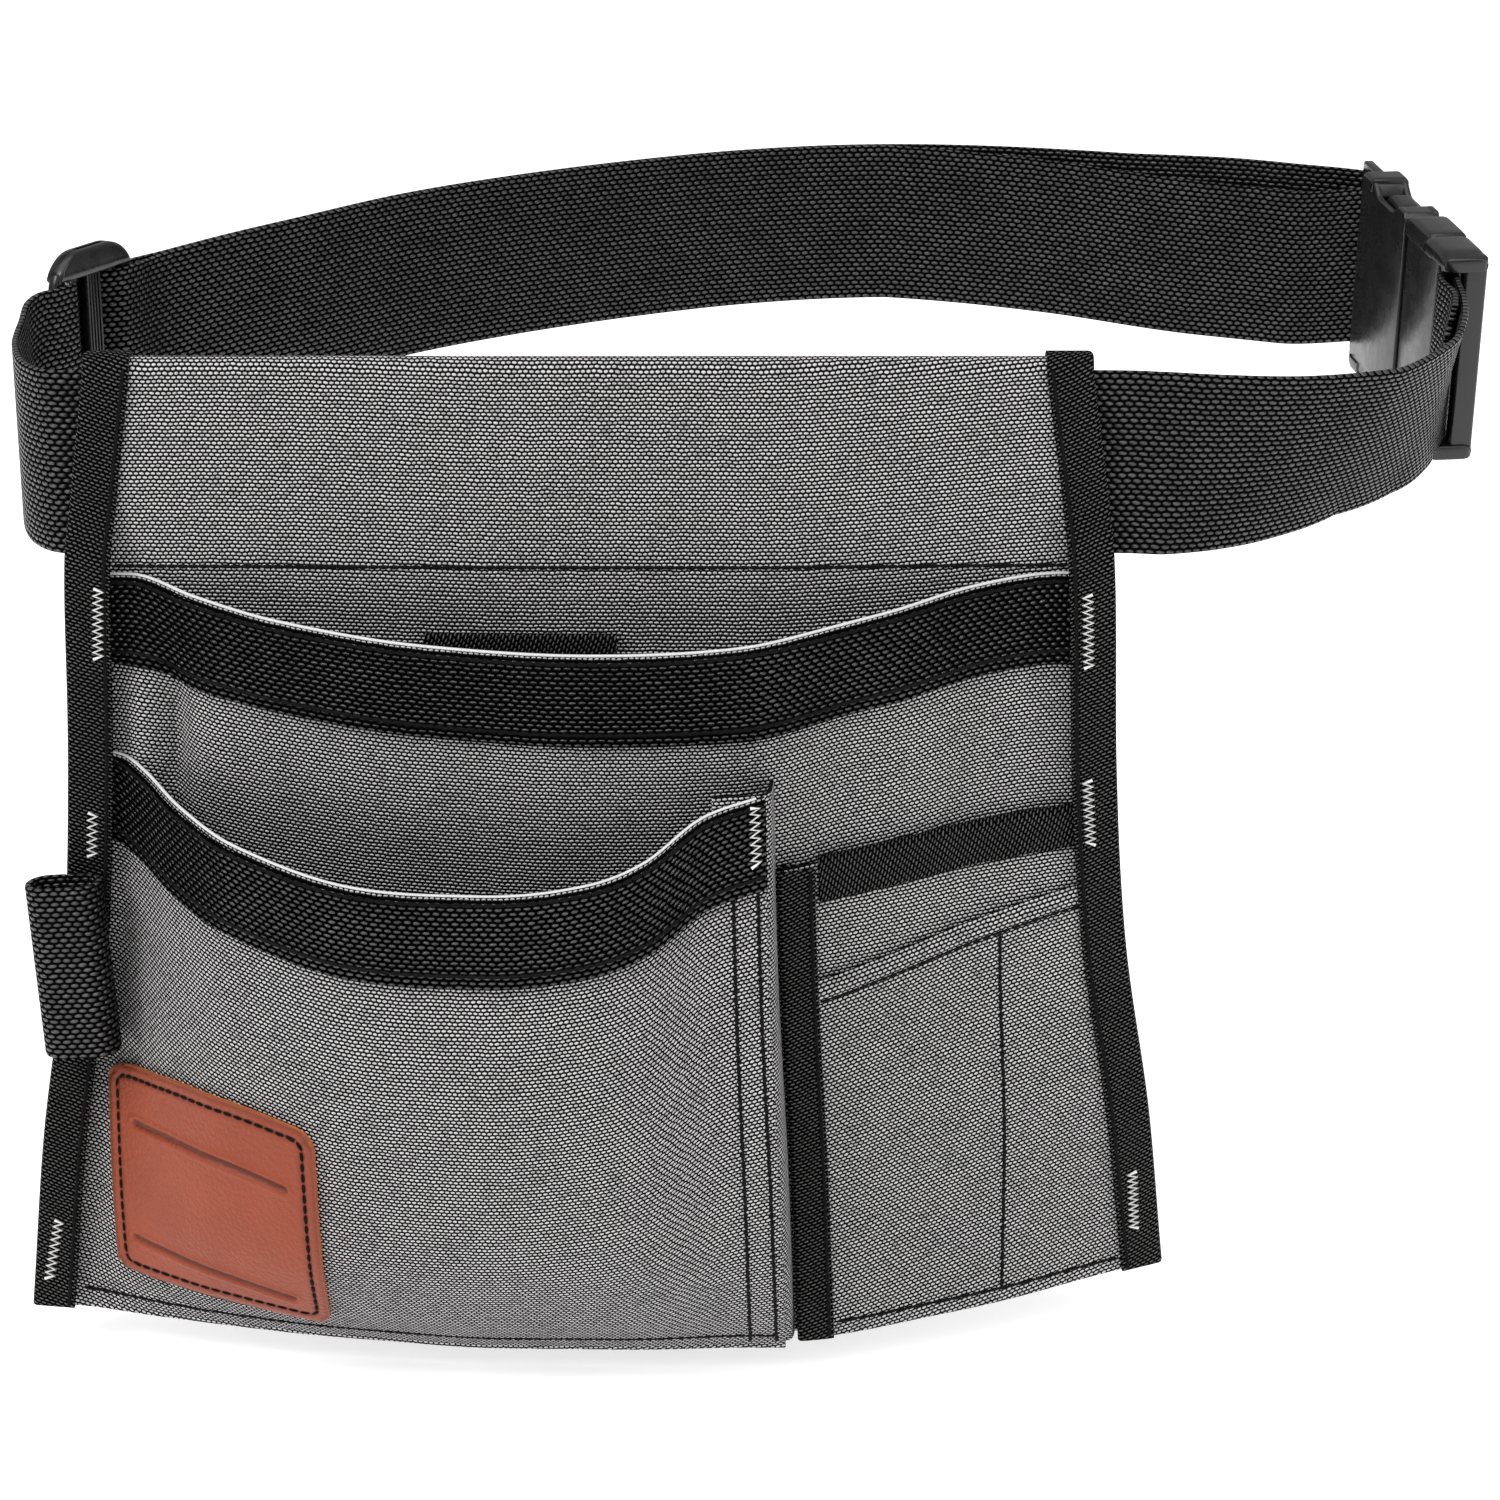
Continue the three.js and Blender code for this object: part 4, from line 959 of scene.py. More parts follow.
# %% Tool loop
LOOP_WIDTH = 21 * MM
LOOP_DEPTH = 12 * MM
LOOP_TOP = 114 * MM
LOOP_TILT = 3
LOOP_SHIFT = 2.4 * MM


def loop_grid():
    middle = LOOP_DEPTH / 2
    radius = middle - WEBBING / 2
    half = LOOP_WIDTH / 2 - middle
    outline = []
    for centre_x, start in [(-half, math.pi / 2), (half, -math.pi / 2)]:
        for angle in np.linspace(start, start + math.pi, 17):
            outline.append((centre_x + radius * math.cos(angle), middle + radius * math.sin(angle)))
    back = [(0, middle + radius)]
    outline = np.array(back + outline + back)
    plies = COVER_PLY + TAPE / 2 + GAP
    upper = cloth_point(0.0, -LOOP_TOP, plies)
    lower = cloth_point(0.0, -LOOP_TOP - WEBBING_WIDTH, plies)
    across = lower[0] + BINDING_WIDTH / 2 + LOOP_SHIFT
    origin = np.array([across, min(upper[1], lower[1]) - LOOP_DEPTH, -LOOP_TOP - WEBBING_WIDTH])
    tilt = math.radians(-LOOP_TILT)
    heights = spaced(0, WEBBING_WIDTH)[:, None]
    x = outline[None, :, 0] * math.cos(tilt) + heights * math.sin(tilt)
    z = -outline[None, :, 0] * math.sin(tilt) + heights * math.cos(tilt)
    y = outline[None, :, 1] + 0 * heights
    return np.stack([x, y, z], -1) + origin


loop = loop_grid()[:, ::-1]
sheet("webbing_tool_loop", "tool_loop", loop, BELT_CLOTH, POCKET_EDGE)

# %% [markdown]
# ## The belt's line
# The belt is one length of webbing. From its folded end in the plug half of the buckle it runs
# round the front and left side, over the slider, round the back to the socket half, turns round
# that bar and comes back inside to end on the slider. Its middle follows a smooth curve through
# a table of places, which are shares of the waist, and a second table gives each layer's way out.

# %% Waist line
SLIDER_LENGTH = 36 * MM
SLIDER_HEIGHT = 64 * MM
SLIDER_BAR = 5 * MM
SLIDER_CENTRE_BAR = 7 * MM
SLIDER = 3 * MM
SLIDER_LIFT = 1.5 * MM
SLIDER_TURN = 62
BAR = 3 * MM
FEMALE_LENGTH = 57 * MM
BUCKLE_HEIGHT = 62 * MM
BUCKLE = 11 * MM
SLOT_PLAY = 2 * MM
WRAP = 26 * MM
INNER_HANG = 6.6 * MM

FRONT_LINE = table("across back rise lean", f"""
      0.497  -0.068  0.005  0
      0.482  -0.168  -0.03  8
      0.452  -0.268 -0.085 20
      0.406  -0.368   -0.1 25
      0.348  -0.444 -0.085 16
      0.302  -0.482  -0.06  7
      0.266 -0.4985  -0.04  0
       0.24    -0.5 {FRONT_RISE}  0
      0.096    -0.5 {FRONT_RISE}  0
     -0.144    -0.5 {FRONT_RISE}  0
      -0.38    -0.5 {FRONT_RISE}  0
      -0.43    -0.5 {FRONT_RISE}  0
     -0.444  -0.498 {FRONT_RISE}  0
     -0.463  -0.458 -0.035  0
    -0.4775   -0.38  -0.03  0
     -0.483   -0.29  -0.01  0
""")
BACK_LINE = table("across back rise lean", """
    -0.375 0.045 0.095 0
    -0.322  0.12  0.13 0
    -0.255  0.22 0.165 0
     -0.18 0.308 0.185 0
    -0.091 0.396 0.195 0
    -0.007  0.46   0.2 0
     0.077 0.496   0.2 0
     0.156 0.496   0.2 0
     0.245 0.464   0.2 0
     0.344 0.412  0.19 0
     0.413 0.364 0.175 0
     0.464 0.328 0.155 0
""")
slider_centre = np.array([-0.454 * WAIST_WIDTH, -0.12 * WAIST_DEPTH, 0.05 * WEBBING_WIDTH])
slider_along = np.array([math.cos(math.radians(SLIDER_TURN)), math.sin(math.radians(SLIDER_TURN)), 0])


def places(line):
    sizes = {"across": WAIST_WIDTH, "back": WAIST_DEPTH, "rise": WEBBING_WIDTH}
    return np.stack([line[column] * size for column, size in sizes.items()], -1)


at_slider = slider_centre + np.array([-0.72, -0.45, 0.45, 0.72])[:, None] * SLIDER_LENGTH * slider_along
waist_points = np.concatenate([places(FRONT_LINE), at_slider, places(BACK_LINE)])
waist_leans = np.concatenate([FRONT_LINE["lean"], np.zeros(4), BACK_LINE["lean"]])


def smooth_line(points, samples=60):
    before = 2 * points[0] - points[1]
    after = 2 * points[-1] - points[-2]
    line = np.concatenate([[before], points, [after]])
    t = np.linspace(0, 1, samples, endpoint=False)[:, None]
    result = []
    for p0, p1, p2, p3 in zip(line, line[1:], line[2:], line[3:]):
        d0, d1, d2 = [np.linalg.norm(b - a) ** 0.5 for a, b in ((p0, p1), (p1, p2), (p2, p3))]
        start = ((p1 - p0) / d0 - (p2 - p0) / (d0 + d1) + (p2 - p1) / d1) * d1
        end = ((p2 - p1) / d1 - (p3 - p1) / (d1 + d2) + (p3 - p2) / d2) * d1
        bend = -3 * p1 + 3 * p2 - 2 * start - end
        close = 2 * p1 - 2 * p2 + start + end
        result.append(p1 + start * t + bend * t**2 + close * t**3)
    return np.concatenate(result + [points[-1:]])


waist_line = smooth_line(waist_points)
run = np.linalg.norm(np.diff(waist_line, axis=0), axis=1)
waist_at = np.concatenate([[0], np.cumsum(run)])
belt_length = waist_at[-1]
lean_at = np.interp(np.arange(len(waist_line)) / 60, np.arange(len(waist_points)), waist_leans)
slider_at = waist_at[np.argmin(np.linalg.norm(waist_line - slider_centre, axis=1))]
print("belt line", round(belt_length, 4), "m, slider at", round(slider_at, 4))

# %% [markdown]
# ## The belt's layers
# The webbing is 1.8 mm thick, so where it lies double, or weaves through the slider, each layer
# runs a little further out or in. Near the buckle it stands square to the sloping bars.

# %% Belt layers
BAR_WRAP = BAR * math.sqrt(0.5) + GAP + WEBBING / 2
LAYER = WEBBING / 2 + GAP / 2
SLIDER_WRAP = SLIDER / 2 + GAP + WEBBING / 2
LOOP_BACK = 4 * MM
LOOP_IN = 2.8 * MM
LOOP_TURN = 2.3 * MM
half_slider = SLIDER_LENGTH / 2
half_centre = SLIDER_CENTRE_BAR / 2
inner_rail = half_slider - SLIDER_BAR
slot_middle = (half_centre + inner_rail) / 2


def from_place(place, *pairs):
    return [(place + step, value) for step, value in pairs]


start_out = [(-LOOP_BACK, -LOOP_IN), (8 * MM, -LOOP_IN), (2 * WRAP, 0)]
slider_out = from_place(
    slider_at, (-SLIDER_LENGTH, 0), (-half_slider, -SLIDER_WRAP), (-slot_middle - 3 * MM, -SLIDER_WRAP),
    (-half_centre, SLIDER_WRAP + 2 * LAYER), (slot_middle - 2 * MM, SLIDER_WRAP + 2 * LAYER),
    (inner_rail, SLIDER_WRAP + 0.4 * LAYER), (half_slider, SLIDER_WRAP), (SLIDER_LENGTH, LAYER))
end_out = from_place(belt_length, (-WRAP, LAYER), (-4 * MM, BAR_WRAP), (0, BAR_WRAP))
MAIN = table("at out", start_out + slider_out + end_out)

slider_out = from_place(
    slider_at, (-half_centre, SLIDER_WRAP), (half_centre, SLIDER_WRAP),
    (inner_rail, -SLIDER_WRAP), (half_slider, -SLIDER_WRAP), (SLIDER_LENGTH, -LAYER))
RETURN = table("at out", slider_out + [(place, -out) for place, out in end_out])
loop_out = -LOOP_IN - 2 * LOOP_TURN
folded_out = [(-LOOP_BACK, loop_out), (5 * MM, loop_out)]
FOLDED = table("at out", folded_out + [(16 * MM, -LOOP_IN - 2.1 * MM), (FOLDED_END, -LOOP_IN - 1.4 * MM)])

end_drop = from_place(belt_length, (-3 * WRAP, 0), (-WRAP / 2, -SLOT_PLAY), (0, -SLOT_PLAY))
MAIN_DROP = table("at drop", end_drop)
end_drop = from_place(
    belt_length, (-6 * WRAP, 0), (-4 * WRAP, INNER_HANG / 2), (-2 * WRAP, INNER_HANG), (-WRAP, INNER_HANG),
    (0, SLOT_PLAY))
RETURN_DROP = table("at drop", end_drop)
square_end = from_place(belt_length, (-2 * WRAP, 0), (-WRAP / 2, 1), (0, 1))
SQUARE = table("at square", [(0, 1), (WRAP / 2, 1), (2 * WRAP, 0)] + square_end)
buckle_chord = waist_line[0] - waist_line[-1]
buckle_level = buckle_chord * [1, 1, 0]
buckle_slope = buckle_level * buckle_chord[2] / np.dot(buckle_level, buckle_level)


def unit(vectors):
    return vectors / np.linalg.norm(vectors, axis=-1, keepdims=True)


def line_at(at):
    at = np.clip(at, 0, belt_length)
    return np.stack([np.interp(at, waist_at, waist_line[:, axis]) for axis in range(3)], -1)


def belt_frame(at):
    past = np.minimum(np.atleast_1d(at), 0)[:, None]
    at = np.atleast_1d(np.clip(at, 0, belt_length))
    step = 0.6 * MM
    ahead = unit((line_at(at + step) - line_at(at - step)) * [1, 1, 0])
    outward = np.stack([-ahead[:, 1], ahead[:, 0], 0 * at], -1)
    square = read(SQUARE, "square", at)[:, None]
    upright = unit(np.array([0, 0, 1.0]) - square * buckle_slope)
    lean = np.radians(np.interp(at, waist_at, lean_at))[:, None]
    return line_at(at) + ahead * past, ahead, outward, upright * np.cos(lean) + outward * np.sin(lean)


def across_belt(middle, up):
    shares = np.linspace(-0.5, 0.5, 15)[None, :, None]
    return middle[:, None] + up[:, None] * shares * WEBBING_WIDTH


def belt_rows(at, out, drop=0.0):
    point, ahead, outward, up = belt_frame(at)
    middle = point + outward * np.reshape(out, (-1, 1)) - up * np.reshape(drop, (-1, 1))
    return across_belt(middle, up)


def bar_turn(at, side, play, radius, out=0.0):
    point, ahead, outward, up = belt_frame(at)
    angle = np.linspace(0, math.pi, 17)[:, None]
    middle = point + outward * out + side * radius * (np.cos(angle) * outward + np.sin(angle) * ahead)
    middle = middle + up * mix(play, -play, angle / math.pi)
    return across_belt(middle, up)


main_at = spaced(-LOOP_BACK, belt_length, 2 * MM)[1:-1]
return_at = spaced(belt_length, slider_at - half_centre, 2 * MM)[1:]
folded_at = spaced(FOLDED_END, -LOOP_BACK, 2 * MM)[:-1]
layers = [
    belt_rows(folded_at, read(FOLDED, "out", folded_at)),
    bar_turn(-LOOP_BACK, -1, 0, LOOP_TURN, -LOOP_IN - LOOP_TURN),
    belt_rows(main_at, read(MAIN, "out", main_at), read(MAIN_DROP, "drop", main_at)),
    bar_turn(belt_length, 1, SLOT_PLAY, BAR_WRAP),
    belt_rows(return_at, read(RETURN, "out", return_at), read(RETURN_DROP, "drop", return_at)),
]
belt_cloth = np.concatenate(layers).swapaxes(0, 1)[:, ::-1]
sheet("belt_webbing_strap", "belt_webbing", belt_cloth, BELT_CLOTH, 0.55 * MM)

# %% [markdown]
# ## Moulded plastic
# Slider and buckle are moulded, so every edge is a little round. `slab` makes a plate from an
# outline and its holes: rings of points step in along a quarter circle at each face, and flat
# triangles close it. Several slabs side by side or crossing make one moulding.

# %% Function: rounded slab


def rounded_outline(left, bottom, right, top, radius, steps=6):
    points = []
    for x, y, start in [(right, bottom, -90), (right, top, 0), (left, top, 90), (left, bottom, 180)]:
        centre_x = x - radius if x == right else x + radius
        centre_y = y + radius if y == bottom else y - radius
        for angle in np.radians(np.linspace(start, start + 90, steps)):
            points.append((centre_x + radius * math.cos(angle), centre_y + radius * math.sin(angle)))
    return np.array(points)


def slab(outlines, thickness, rounding, shift=0.0):
    turns = np.linspace(0, math.pi / 2, 4)
    inset = rounding * (1 - np.sin(turns))
    height = thickness / 2 - rounding * (1 - np.cos(turns))
    rings = list(zip(inset, height)) + list(zip(inset[::-1], -height[::-1]))
    points, faces, loops = [], [], []
    for outline in outlines:
        ahead = unit(np.roll(outline, -1, 0) - np.roll(outline, 1, 0))
        away = np.stack([ahead[:, 1], -ahead[:, 0]], -1)
        count, base = len(outline), len(points)
        for back, z in rings:
            points += [(x, y, z + shift) for x, y in outline - away * back]
        for ring in range(len(rings) - 1):
            low = base + ring * count
            for i in range(count):
                j = (i + 1) % count
                faces.append((low + i, low + count + i, low + count + j, low + j))
        loops.append(range(base, base + count))
    last = len(rings) - 1
    order = [index for loop in loops for index in loop]
    counts = [len(loop) for loop in loops for _ in loop]
    for a, b, c in tessellate_polygon([[Vector(points[index]) for index in loop] for loop in loops]):
        corners = [np.array(points[order[index]]) for index in (a, b, c)]
        area = np.cross(corners[1] - corners[0], corners[2] - corners[0])[2]
        triangle = (a, b, c) if area > 0 else (a, c, b)
        faces.append(tuple(order[index] for index in triangle))
        faces.append(tuple(order[index] + last * counts[index] for index in reversed(triangle)))
    return np.array(points), faces


def moulding(name, node, slabs, centre, along):
    along = unit(np.array(along, float))
    up = unit(np.array([0, 0, 1.0]) - along[2] * along)
    basis = np.stack([along, up, np.cross(along, up)])
    points, faces, base = [], [], 0
    for part, part_faces in slabs:
        points.append(part @ basis + centre)
        faces += [tuple(index + base for index in face) for face in part_faces]
        base += len(part)
    piece = new_piece(name, np.concatenate(points), faces, plastic_finish, sharp=40)
    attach(piece, "root")
    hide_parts(node)
    print(name, len(slabs), "slabs,", len(faces), "faces")
    return piece


# %% [markdown]
# ## Slider
# The slider is a frame with two slots and a centre bar. Its end rails are thicker than the frame
# and fine ridges on the centre bar grip the webbing.

# %% Slider
RIDGES = 4
RIDGE_PITCH = 1.35 * MM
RIDGE = 0.7 * MM
RAIL = 5.6 * MM
SLIDER_CORNER = SLIDER_LENGTH / 3
CORNER_STEPS = 12
slot_half = WEBBING_WIDTH / 2 + SLIDER_LIFT + GAP
half_height = SLIDER_HEIGHT / 2
outer_box = (-half_slider, -half_height, half_slider, half_height)
frame_outline = rounded_outline(*outer_box, SLIDER_CORNER, CORNER_STEPS)
slots = []
for side in (-1, 1):
    near, far = sorted([side * half_centre, side * inner_rail])
    slots.append(rounded_outline(near, -slot_half, far, slot_half, 1 * MM)[::-1])
slabs = [slab([frame_outline] + slots, SLIDER, 0.8 * MM)]
arch = frame_outline[CORNER_STEPS : 3 * CORNER_STEPS]
top_inner = WEBBING_WIDTH / 2 - SLIDER_LIFT + 0.6 * MM
bottom_inner = WEBBING_WIDTH / 2 + SLIDER_LIFT + 0.6 * MM
for inner, flip in [(top_inner, 1), (bottom_inner, -1)]:
    outer = arch[arch[:, 1] > inner + 1.6 * MM]
    rail = np.concatenate([outer, [(outer[-1, 0], inner), (outer[0, 0], inner)]])
    slabs.append(slab([rail[::flip] * [1, flip]], RAIL, 1.2 * MM))
for ridge in (np.arange(RIDGES) - (RIDGES - 1) / 2) * RIDGE_PITCH:
    line = rounded_outline(ridge - RIDGE / 2, -slot_half, ridge + RIDGE / 2, slot_half, 0.2 * MM, 2)
    slabs.append(slab([line], SLIDER + 0.7 * MM, 0.2 * MM))
moulding("adjusting_slider", "slider", slabs, slider_centre + [0, 0, SLIDER_LIFT], slider_along)

# %% [markdown]
# ## Buckle
# Each half has a bar for the webbing at its end. The socket is two face plates with walls between
# them and a window in each side. The plug's two springy arms reach in and show in the windows.

# %% Buckle outlines
SLOT_LENGTH = 10 * MM
BODY_START = SLOT_LENGTH + BAR / 2
BUCKLE_SIDE = BUCKLE_HEIGHT / 2
SLOT_HALF = WEBBING_WIDTH / 2 + 1.5 * SLOT_PLAY
MOUTH_WALL = 2 * MM
SIDE_WALL = 6 * MM
PRONG = 9 * MM
TONGUE = 12 * MM
WINDOW_START = BODY_START + 14 * MM
WINDOW_END = FEMALE_LENGTH - 9 * MM
SHOULDER = float(np.linalg.norm(buckle_chord)) - FEMALE_LENGTH - GAP
REACH = SHOULDER + FEMALE_LENGTH - BODY_START - 3 * MOUTH_WALL


def bar_slab():
    frame_edge = rounded_outline(-BAR / 2, -BUCKLE_SIDE, BODY_START + 1 * MM, BUCKLE_SIDE, 1.4 * MM)
    hole = rounded_outline(BAR / 2, -SLOT_HALF, SLOT_LENGTH, SLOT_HALF, 1 * MM)[::-1]
    return slab([frame_edge, hole], BAR, 0.7 * MM)


def smooth_outline(corners, steps=6):
    corners = np.array(corners, float) * MM
    closed = np.concatenate([corners[-1:], corners, corners[:2]])
    t = np.linspace(0, 1, steps, endpoint=False)[:, None]
    result = []
    for p0, p1, p2 in zip(closed, closed[1:], closed[2:]):
        start, end = mix(p0, p1, 0.82), mix(p1, p2, 0.18)
        result.append(mix(mix(start, p1, t), mix(p1, end, t), t))
    return np.concatenate(result[:-1])


def whole(half):
    return smooth_outline([(x, -y) for x, y in half] + half[::-1])


def both_hands(corners, thickness, rounding, shift=0.0):
    upper = smooth_outline(corners)
    return [slab([outline], thickness, rounding, shift) for outline in (upper, (upper * [1, -1])[::-1])]


print("shoulder of the plug at", round(SHOULDER / MM, 1), "mm, arms reach to", round(REACH / MM, 1), "mm")

# %% Socket half
start, end, low, high = [value / MM for value in (WINDOW_START, WINDOW_END, BODY_START, FEMALE_LENGTH)]
face = [(low, 29), (low + 3, 31), (start - 2, 31), (start + 3, 27.4)]
face += [(end - 4, 27.4), (end + 1, 30.6), (high - 2, 30.6), (high, 28)]
back_wall = rounded_outline(BODY_START, -29.5 * MM, BODY_START + 2.6 * MM, 29.5 * MM, 0.6 * MM)
near = [(low, 25), (start - 0.5, 25), (start + 1, 27), (start - 1, 30.6), (low + 2, 30.6), (low, 28.5)]
far = [(end, 25), (high, 25), (high, 29), (high - 2, 30.3), (end, 30.3), (end - 0.6, 28)]
block = [(low + 1, 27), (start - 2, 27), (start - 2, 31.4)]
block += [(start - 4, 31.8), (low + 3, 31.8), (low + 1, 30)]
slabs = [bar_slab()]
for side in (-1, 1):
    slabs.append(slab([whole(face)], MOUTH_WALL, 0.6 * MM, side * (BUCKLE - MOUTH_WALL) / 2))
slabs.append(slab([back_wall], BUCKLE - 1 * MM, 0.6 * MM))
for corners, thickness, rounding in [(near, -0.6, 0.8), (far, -0.6, 0.8), (block, 0.8, 1.4)]:
    slabs += both_hands(corners, BUCKLE + thickness * MM, rounding * MM)
moulding("buckle_socket", "buckle_female", slabs, waist_line[-1], buckle_chord)

# %% Plug half
shoulder, reach = SHOULDER / MM, REACH / MM
inner, outer = [(BUCKLE_SIDE - SIDE_WALL - GAP - part) / MM for part in (PRONG, 0)]
body = [(low, 29), (low + 4, 31), (shoulder - 5, 31), (shoulder, 27)]
cap = [(low + 6, 24), (shoulder - 0.4, 24), (shoulder - 0.4, 29)]
cap += [(shoulder - 6, 31.6), (low + 8, 31.6), (low + 5, 29)]
arm = [(shoulder - 2, inner + 1), (shoulder + 14, inner + 2), (reach - 9, inner), (reach, inner + 2)]
arm += [(reach, outer - 2), (reach - 9, outer + 0.2), (reach - 13, 28.6), (reach - 17, 30)]
arm += [(shoulder + 13, 29.2), (shoulder + 7, outer), (shoulder - 2, outer)]
ear = [(-4, 26), (19, 26), (19, 30), (15, 31.8), (2, 31.8), (-4, 30.6)]
arm_thickness = BUCKLE - 2 * MOUTH_WALL - 2 * GAP
end_bar = rounded_outline(-3 * MM, -BUCKLE_SIDE, 1.5 * MM, BUCKLE_SIDE, 1.2 * MM)
pin_radius, pin_half = 1.2 * MM, BUCKLE_SIDE - 1 * MM
pin = rounded_outline(LOOP_BACK - pin_radius, -pin_half, LOOP_BACK + pin_radius, pin_half, 1 * MM)
tongue = rounded_outline(SHOULDER - 1 * MM, -TONGUE / 2, REACH, TONGUE / 2, 2 * MM)
slabs = [bar_slab(), slab([whole(body)], BUCKLE - 1.4 * MM, 1.6 * MM)]
slabs += both_hands(cap, BUCKLE + 0.8 * MM, 1.8 * MM)
slabs += both_hands(arm, arm_thickness, 1.2 * MM)
slabs.append(slab([end_bar], 7 * MM, 1.2 * MM, 2 * MM))
slabs.append(slab([pin], 2 * pin_radius, 1 * MM, -LOOP_IN - LOOP_TURN))
slabs += both_hands(ear, 13.4 * MM, 2.4 * MM, -1.2 * MM)
slabs.append(slab([tongue], arm_thickness, 1 * MM))
moulding("buckle_plug", "buckle_male", slabs, waist_line[0], -buckle_chord)

# %% [markdown]
# ## Seams
# A stitch is a short rounded bit of thread. A guide polyline lies on the cloth with an attribute
# that says which way is out. One node tree puts a small flattened ball at every pitch, turned
# along the line, and another sweeps a round thread, for bartacks and rolled rims.

# %% Node trees: stitches and thread


def new_tree(name, inputs):
    tree = bpy.data.node_groups.new(name, "GeometryNodeTree")
    tree.interface.new_socket("Geometry", in_out="INPUT", socket_type="NodeSocketGeometry")
    tree.interface.new_socket("Geometry", in_out="OUTPUT", socket_type="NodeSocketGeometry")
    for label, kind in inputs:
        tree.interface.new_socket(label, in_out="INPUT", socket_type=kind)
    given = tree.nodes.new("NodeGroupInput").outputs
    curve = add(tree, "GeometryNodeMeshToCurve", {0: given["Geometry"]}).outputs[0]
    return tree, given, curve


def finish_tree(tree, given, geometry):
    inputs = {"Geometry": geometry, "Material": given["Material"]}
    coloured = add(tree, "GeometryNodeSetMaterial", inputs).outputs[0]
    link(coloured, tree.nodes.new("NodeGroupOutput").inputs[0])


MATERIAL = ("Material", "NodeSocketMaterial")
sizes = [(label, FLOAT) for label in ("Pitch", "Length", "Width", "Height")]
stitching, given, curve = new_tree("running stitch", sizes + [MATERIAL])
pitch = {"Curve": curve, "Length": given["Pitch"]}
resampled = add(stitching, "GeometryNodeResampleCurve", pitch, mode="LENGTH").outputs[0]
tangent = stitching.nodes.new("GeometryNodeInputTangent").outputs[0]
named = add(stitching, "GeometryNodeInputNamedAttribute", {"Name": "out"}, data_type="FLOAT_VECTOR")
turned = add(stitching, "FunctionNodeAlignRotationToVector", {"Vector": tangent}, axis="X").outputs[0]
way = {"Rotation": turned, "Vector": named.outputs[0]}
facing = add(stitching, "FunctionNodeAlignRotationToVector", way, axis="Z", pivot_axis="X").outputs[0]
ball = add(stitching, "GeometryNodeMeshUVSphere", {"Segments": 8, "Rings": 6, "Radius": 0.5}).outputs[0]
smooth = add(stitching, "GeometryNodeSetShadeSmooth", {"Geometry": ball}).outputs[0]
lengths = {axis: given[name] for axis, name in enumerate(("Length", "Width", "Height"))}
size = add(stitching, "ShaderNodeCombineXYZ", lengths).outputs[0]
copies = {"Points": resampled, "Instance": smooth, "Rotation": facing, "Scale": size}
placed = add(stitching, "GeometryNodeInstanceOnPoints", copies).outputs[0]
finish_tree(stitching, given, add(stitching, "GeometryNodeRealizeInstances", {0: placed}).outputs[0])

threading, given, curve = new_tree("swept thread", [("Radius", FLOAT), MATERIAL])
round_edge = {"Resolution": 6, "Radius": given["Radius"]}
profile = add(threading, "GeometryNodeCurvePrimitiveCircle", round_edge).outputs[0]
along = {"Curve": curve, "Profile Curve": profile, "Fill Caps": True}
swept = add(threading, "GeometryNodeCurveToMesh", along).outputs[0]
smooth = add(threading, "GeometryNodeSetShadeSmooth", {"Geometry": swept}).outputs[0]
finish_tree(threading, given, smooth)


def grow(name, guides, tree, values):
    points = np.concatenate([points for points, out in guides])
    outward = np.concatenate([out for points, out in guides])
    edges, base = [], 0
    for line, _ in guides:
        edges += [(base + i, base + i + 1) for i in range(len(line) - 1)]
        base += len(line)
    mesh = bpy.data.meshes.new(name + " guide")
    mesh.from_pydata(points.tolist(), edges, [])
    mesh.attributes.new("out", "FLOAT_VECTOR", "POINT").data.foreach_set("vector", outward.ravel())
    guide = new_object(name, mesh)
    modifier = guide.modifiers.new("grow", "NODES")
    modifier.node_group = tree
    for item in tree.interface.items_tree:
        if item.item_type == "SOCKET" and item.in_out == "INPUT" and item.name in values:
            modifier[item.identifier] = values[item.name]
    evaluated = guide.evaluated_get(bpy.context.evaluated_depsgraph_get())
    grown = bpy.data.meshes.new_from_object(evaluated)
    guide.modifiers.clear()
    guide.data = grown
    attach(guide, "root")
    print(name, len(guides), "lines,", len(grown.polygons), "faces")
    return guide


def stitches(name, guides, material, pitch=2.8 * MM, length=3.3 * MM, width=1.2 * MM):
    values = {"Pitch": pitch, "Length": length, "Width": width, "Height": 0.55 * MM, "Material": material}
    return grow(name, guides, stitching, values)


def thread(name, guides, material, radius):
    return grow(name, guides, threading, {"Radius": radius, "Material": material})


# %% Guides on the cloth


def seam(surface, across, z, lift):
    across, z = np.broadcast_arrays(np.asarray(across, float), np.asarray(z, float))
    side = surface(across + 0.003, z) - surface(across - 0.003, z)
    up = surface(across, z + 1 * MM) - surface(across, z - 1 * MM)
    out = unit(np.cross(side, up))
    return surface(across, z) + out * lift, out


def on_grid(grid, row, column, lift, flip=1):
    row, column = np.broadcast_arrays(np.asarray(row, float), np.asarray(column, float))
    low_row = np.clip(row.astype(int), 0, grid.shape[0] - 2)
    low_column = np.clip(column.astype(int), 0, grid.shape[1] - 2)
    part_row, part_column = (row - low_row)[:, None], (column - low_column)[:, None]

    def blend(values):
        near = mix(values[low_row, low_column], values[low_row + 1, low_column], part_row)
        far = mix(values[low_row, low_column + 1], values[low_row + 1, low_column + 1], part_row)
        return mix(near, far, part_column)

    out = unit(blend(normals(grid))) * flip
    return blend(grid) + out * lift, out


def panel_surface(across, z):
    return cloth_point(across, z, 0 * z)


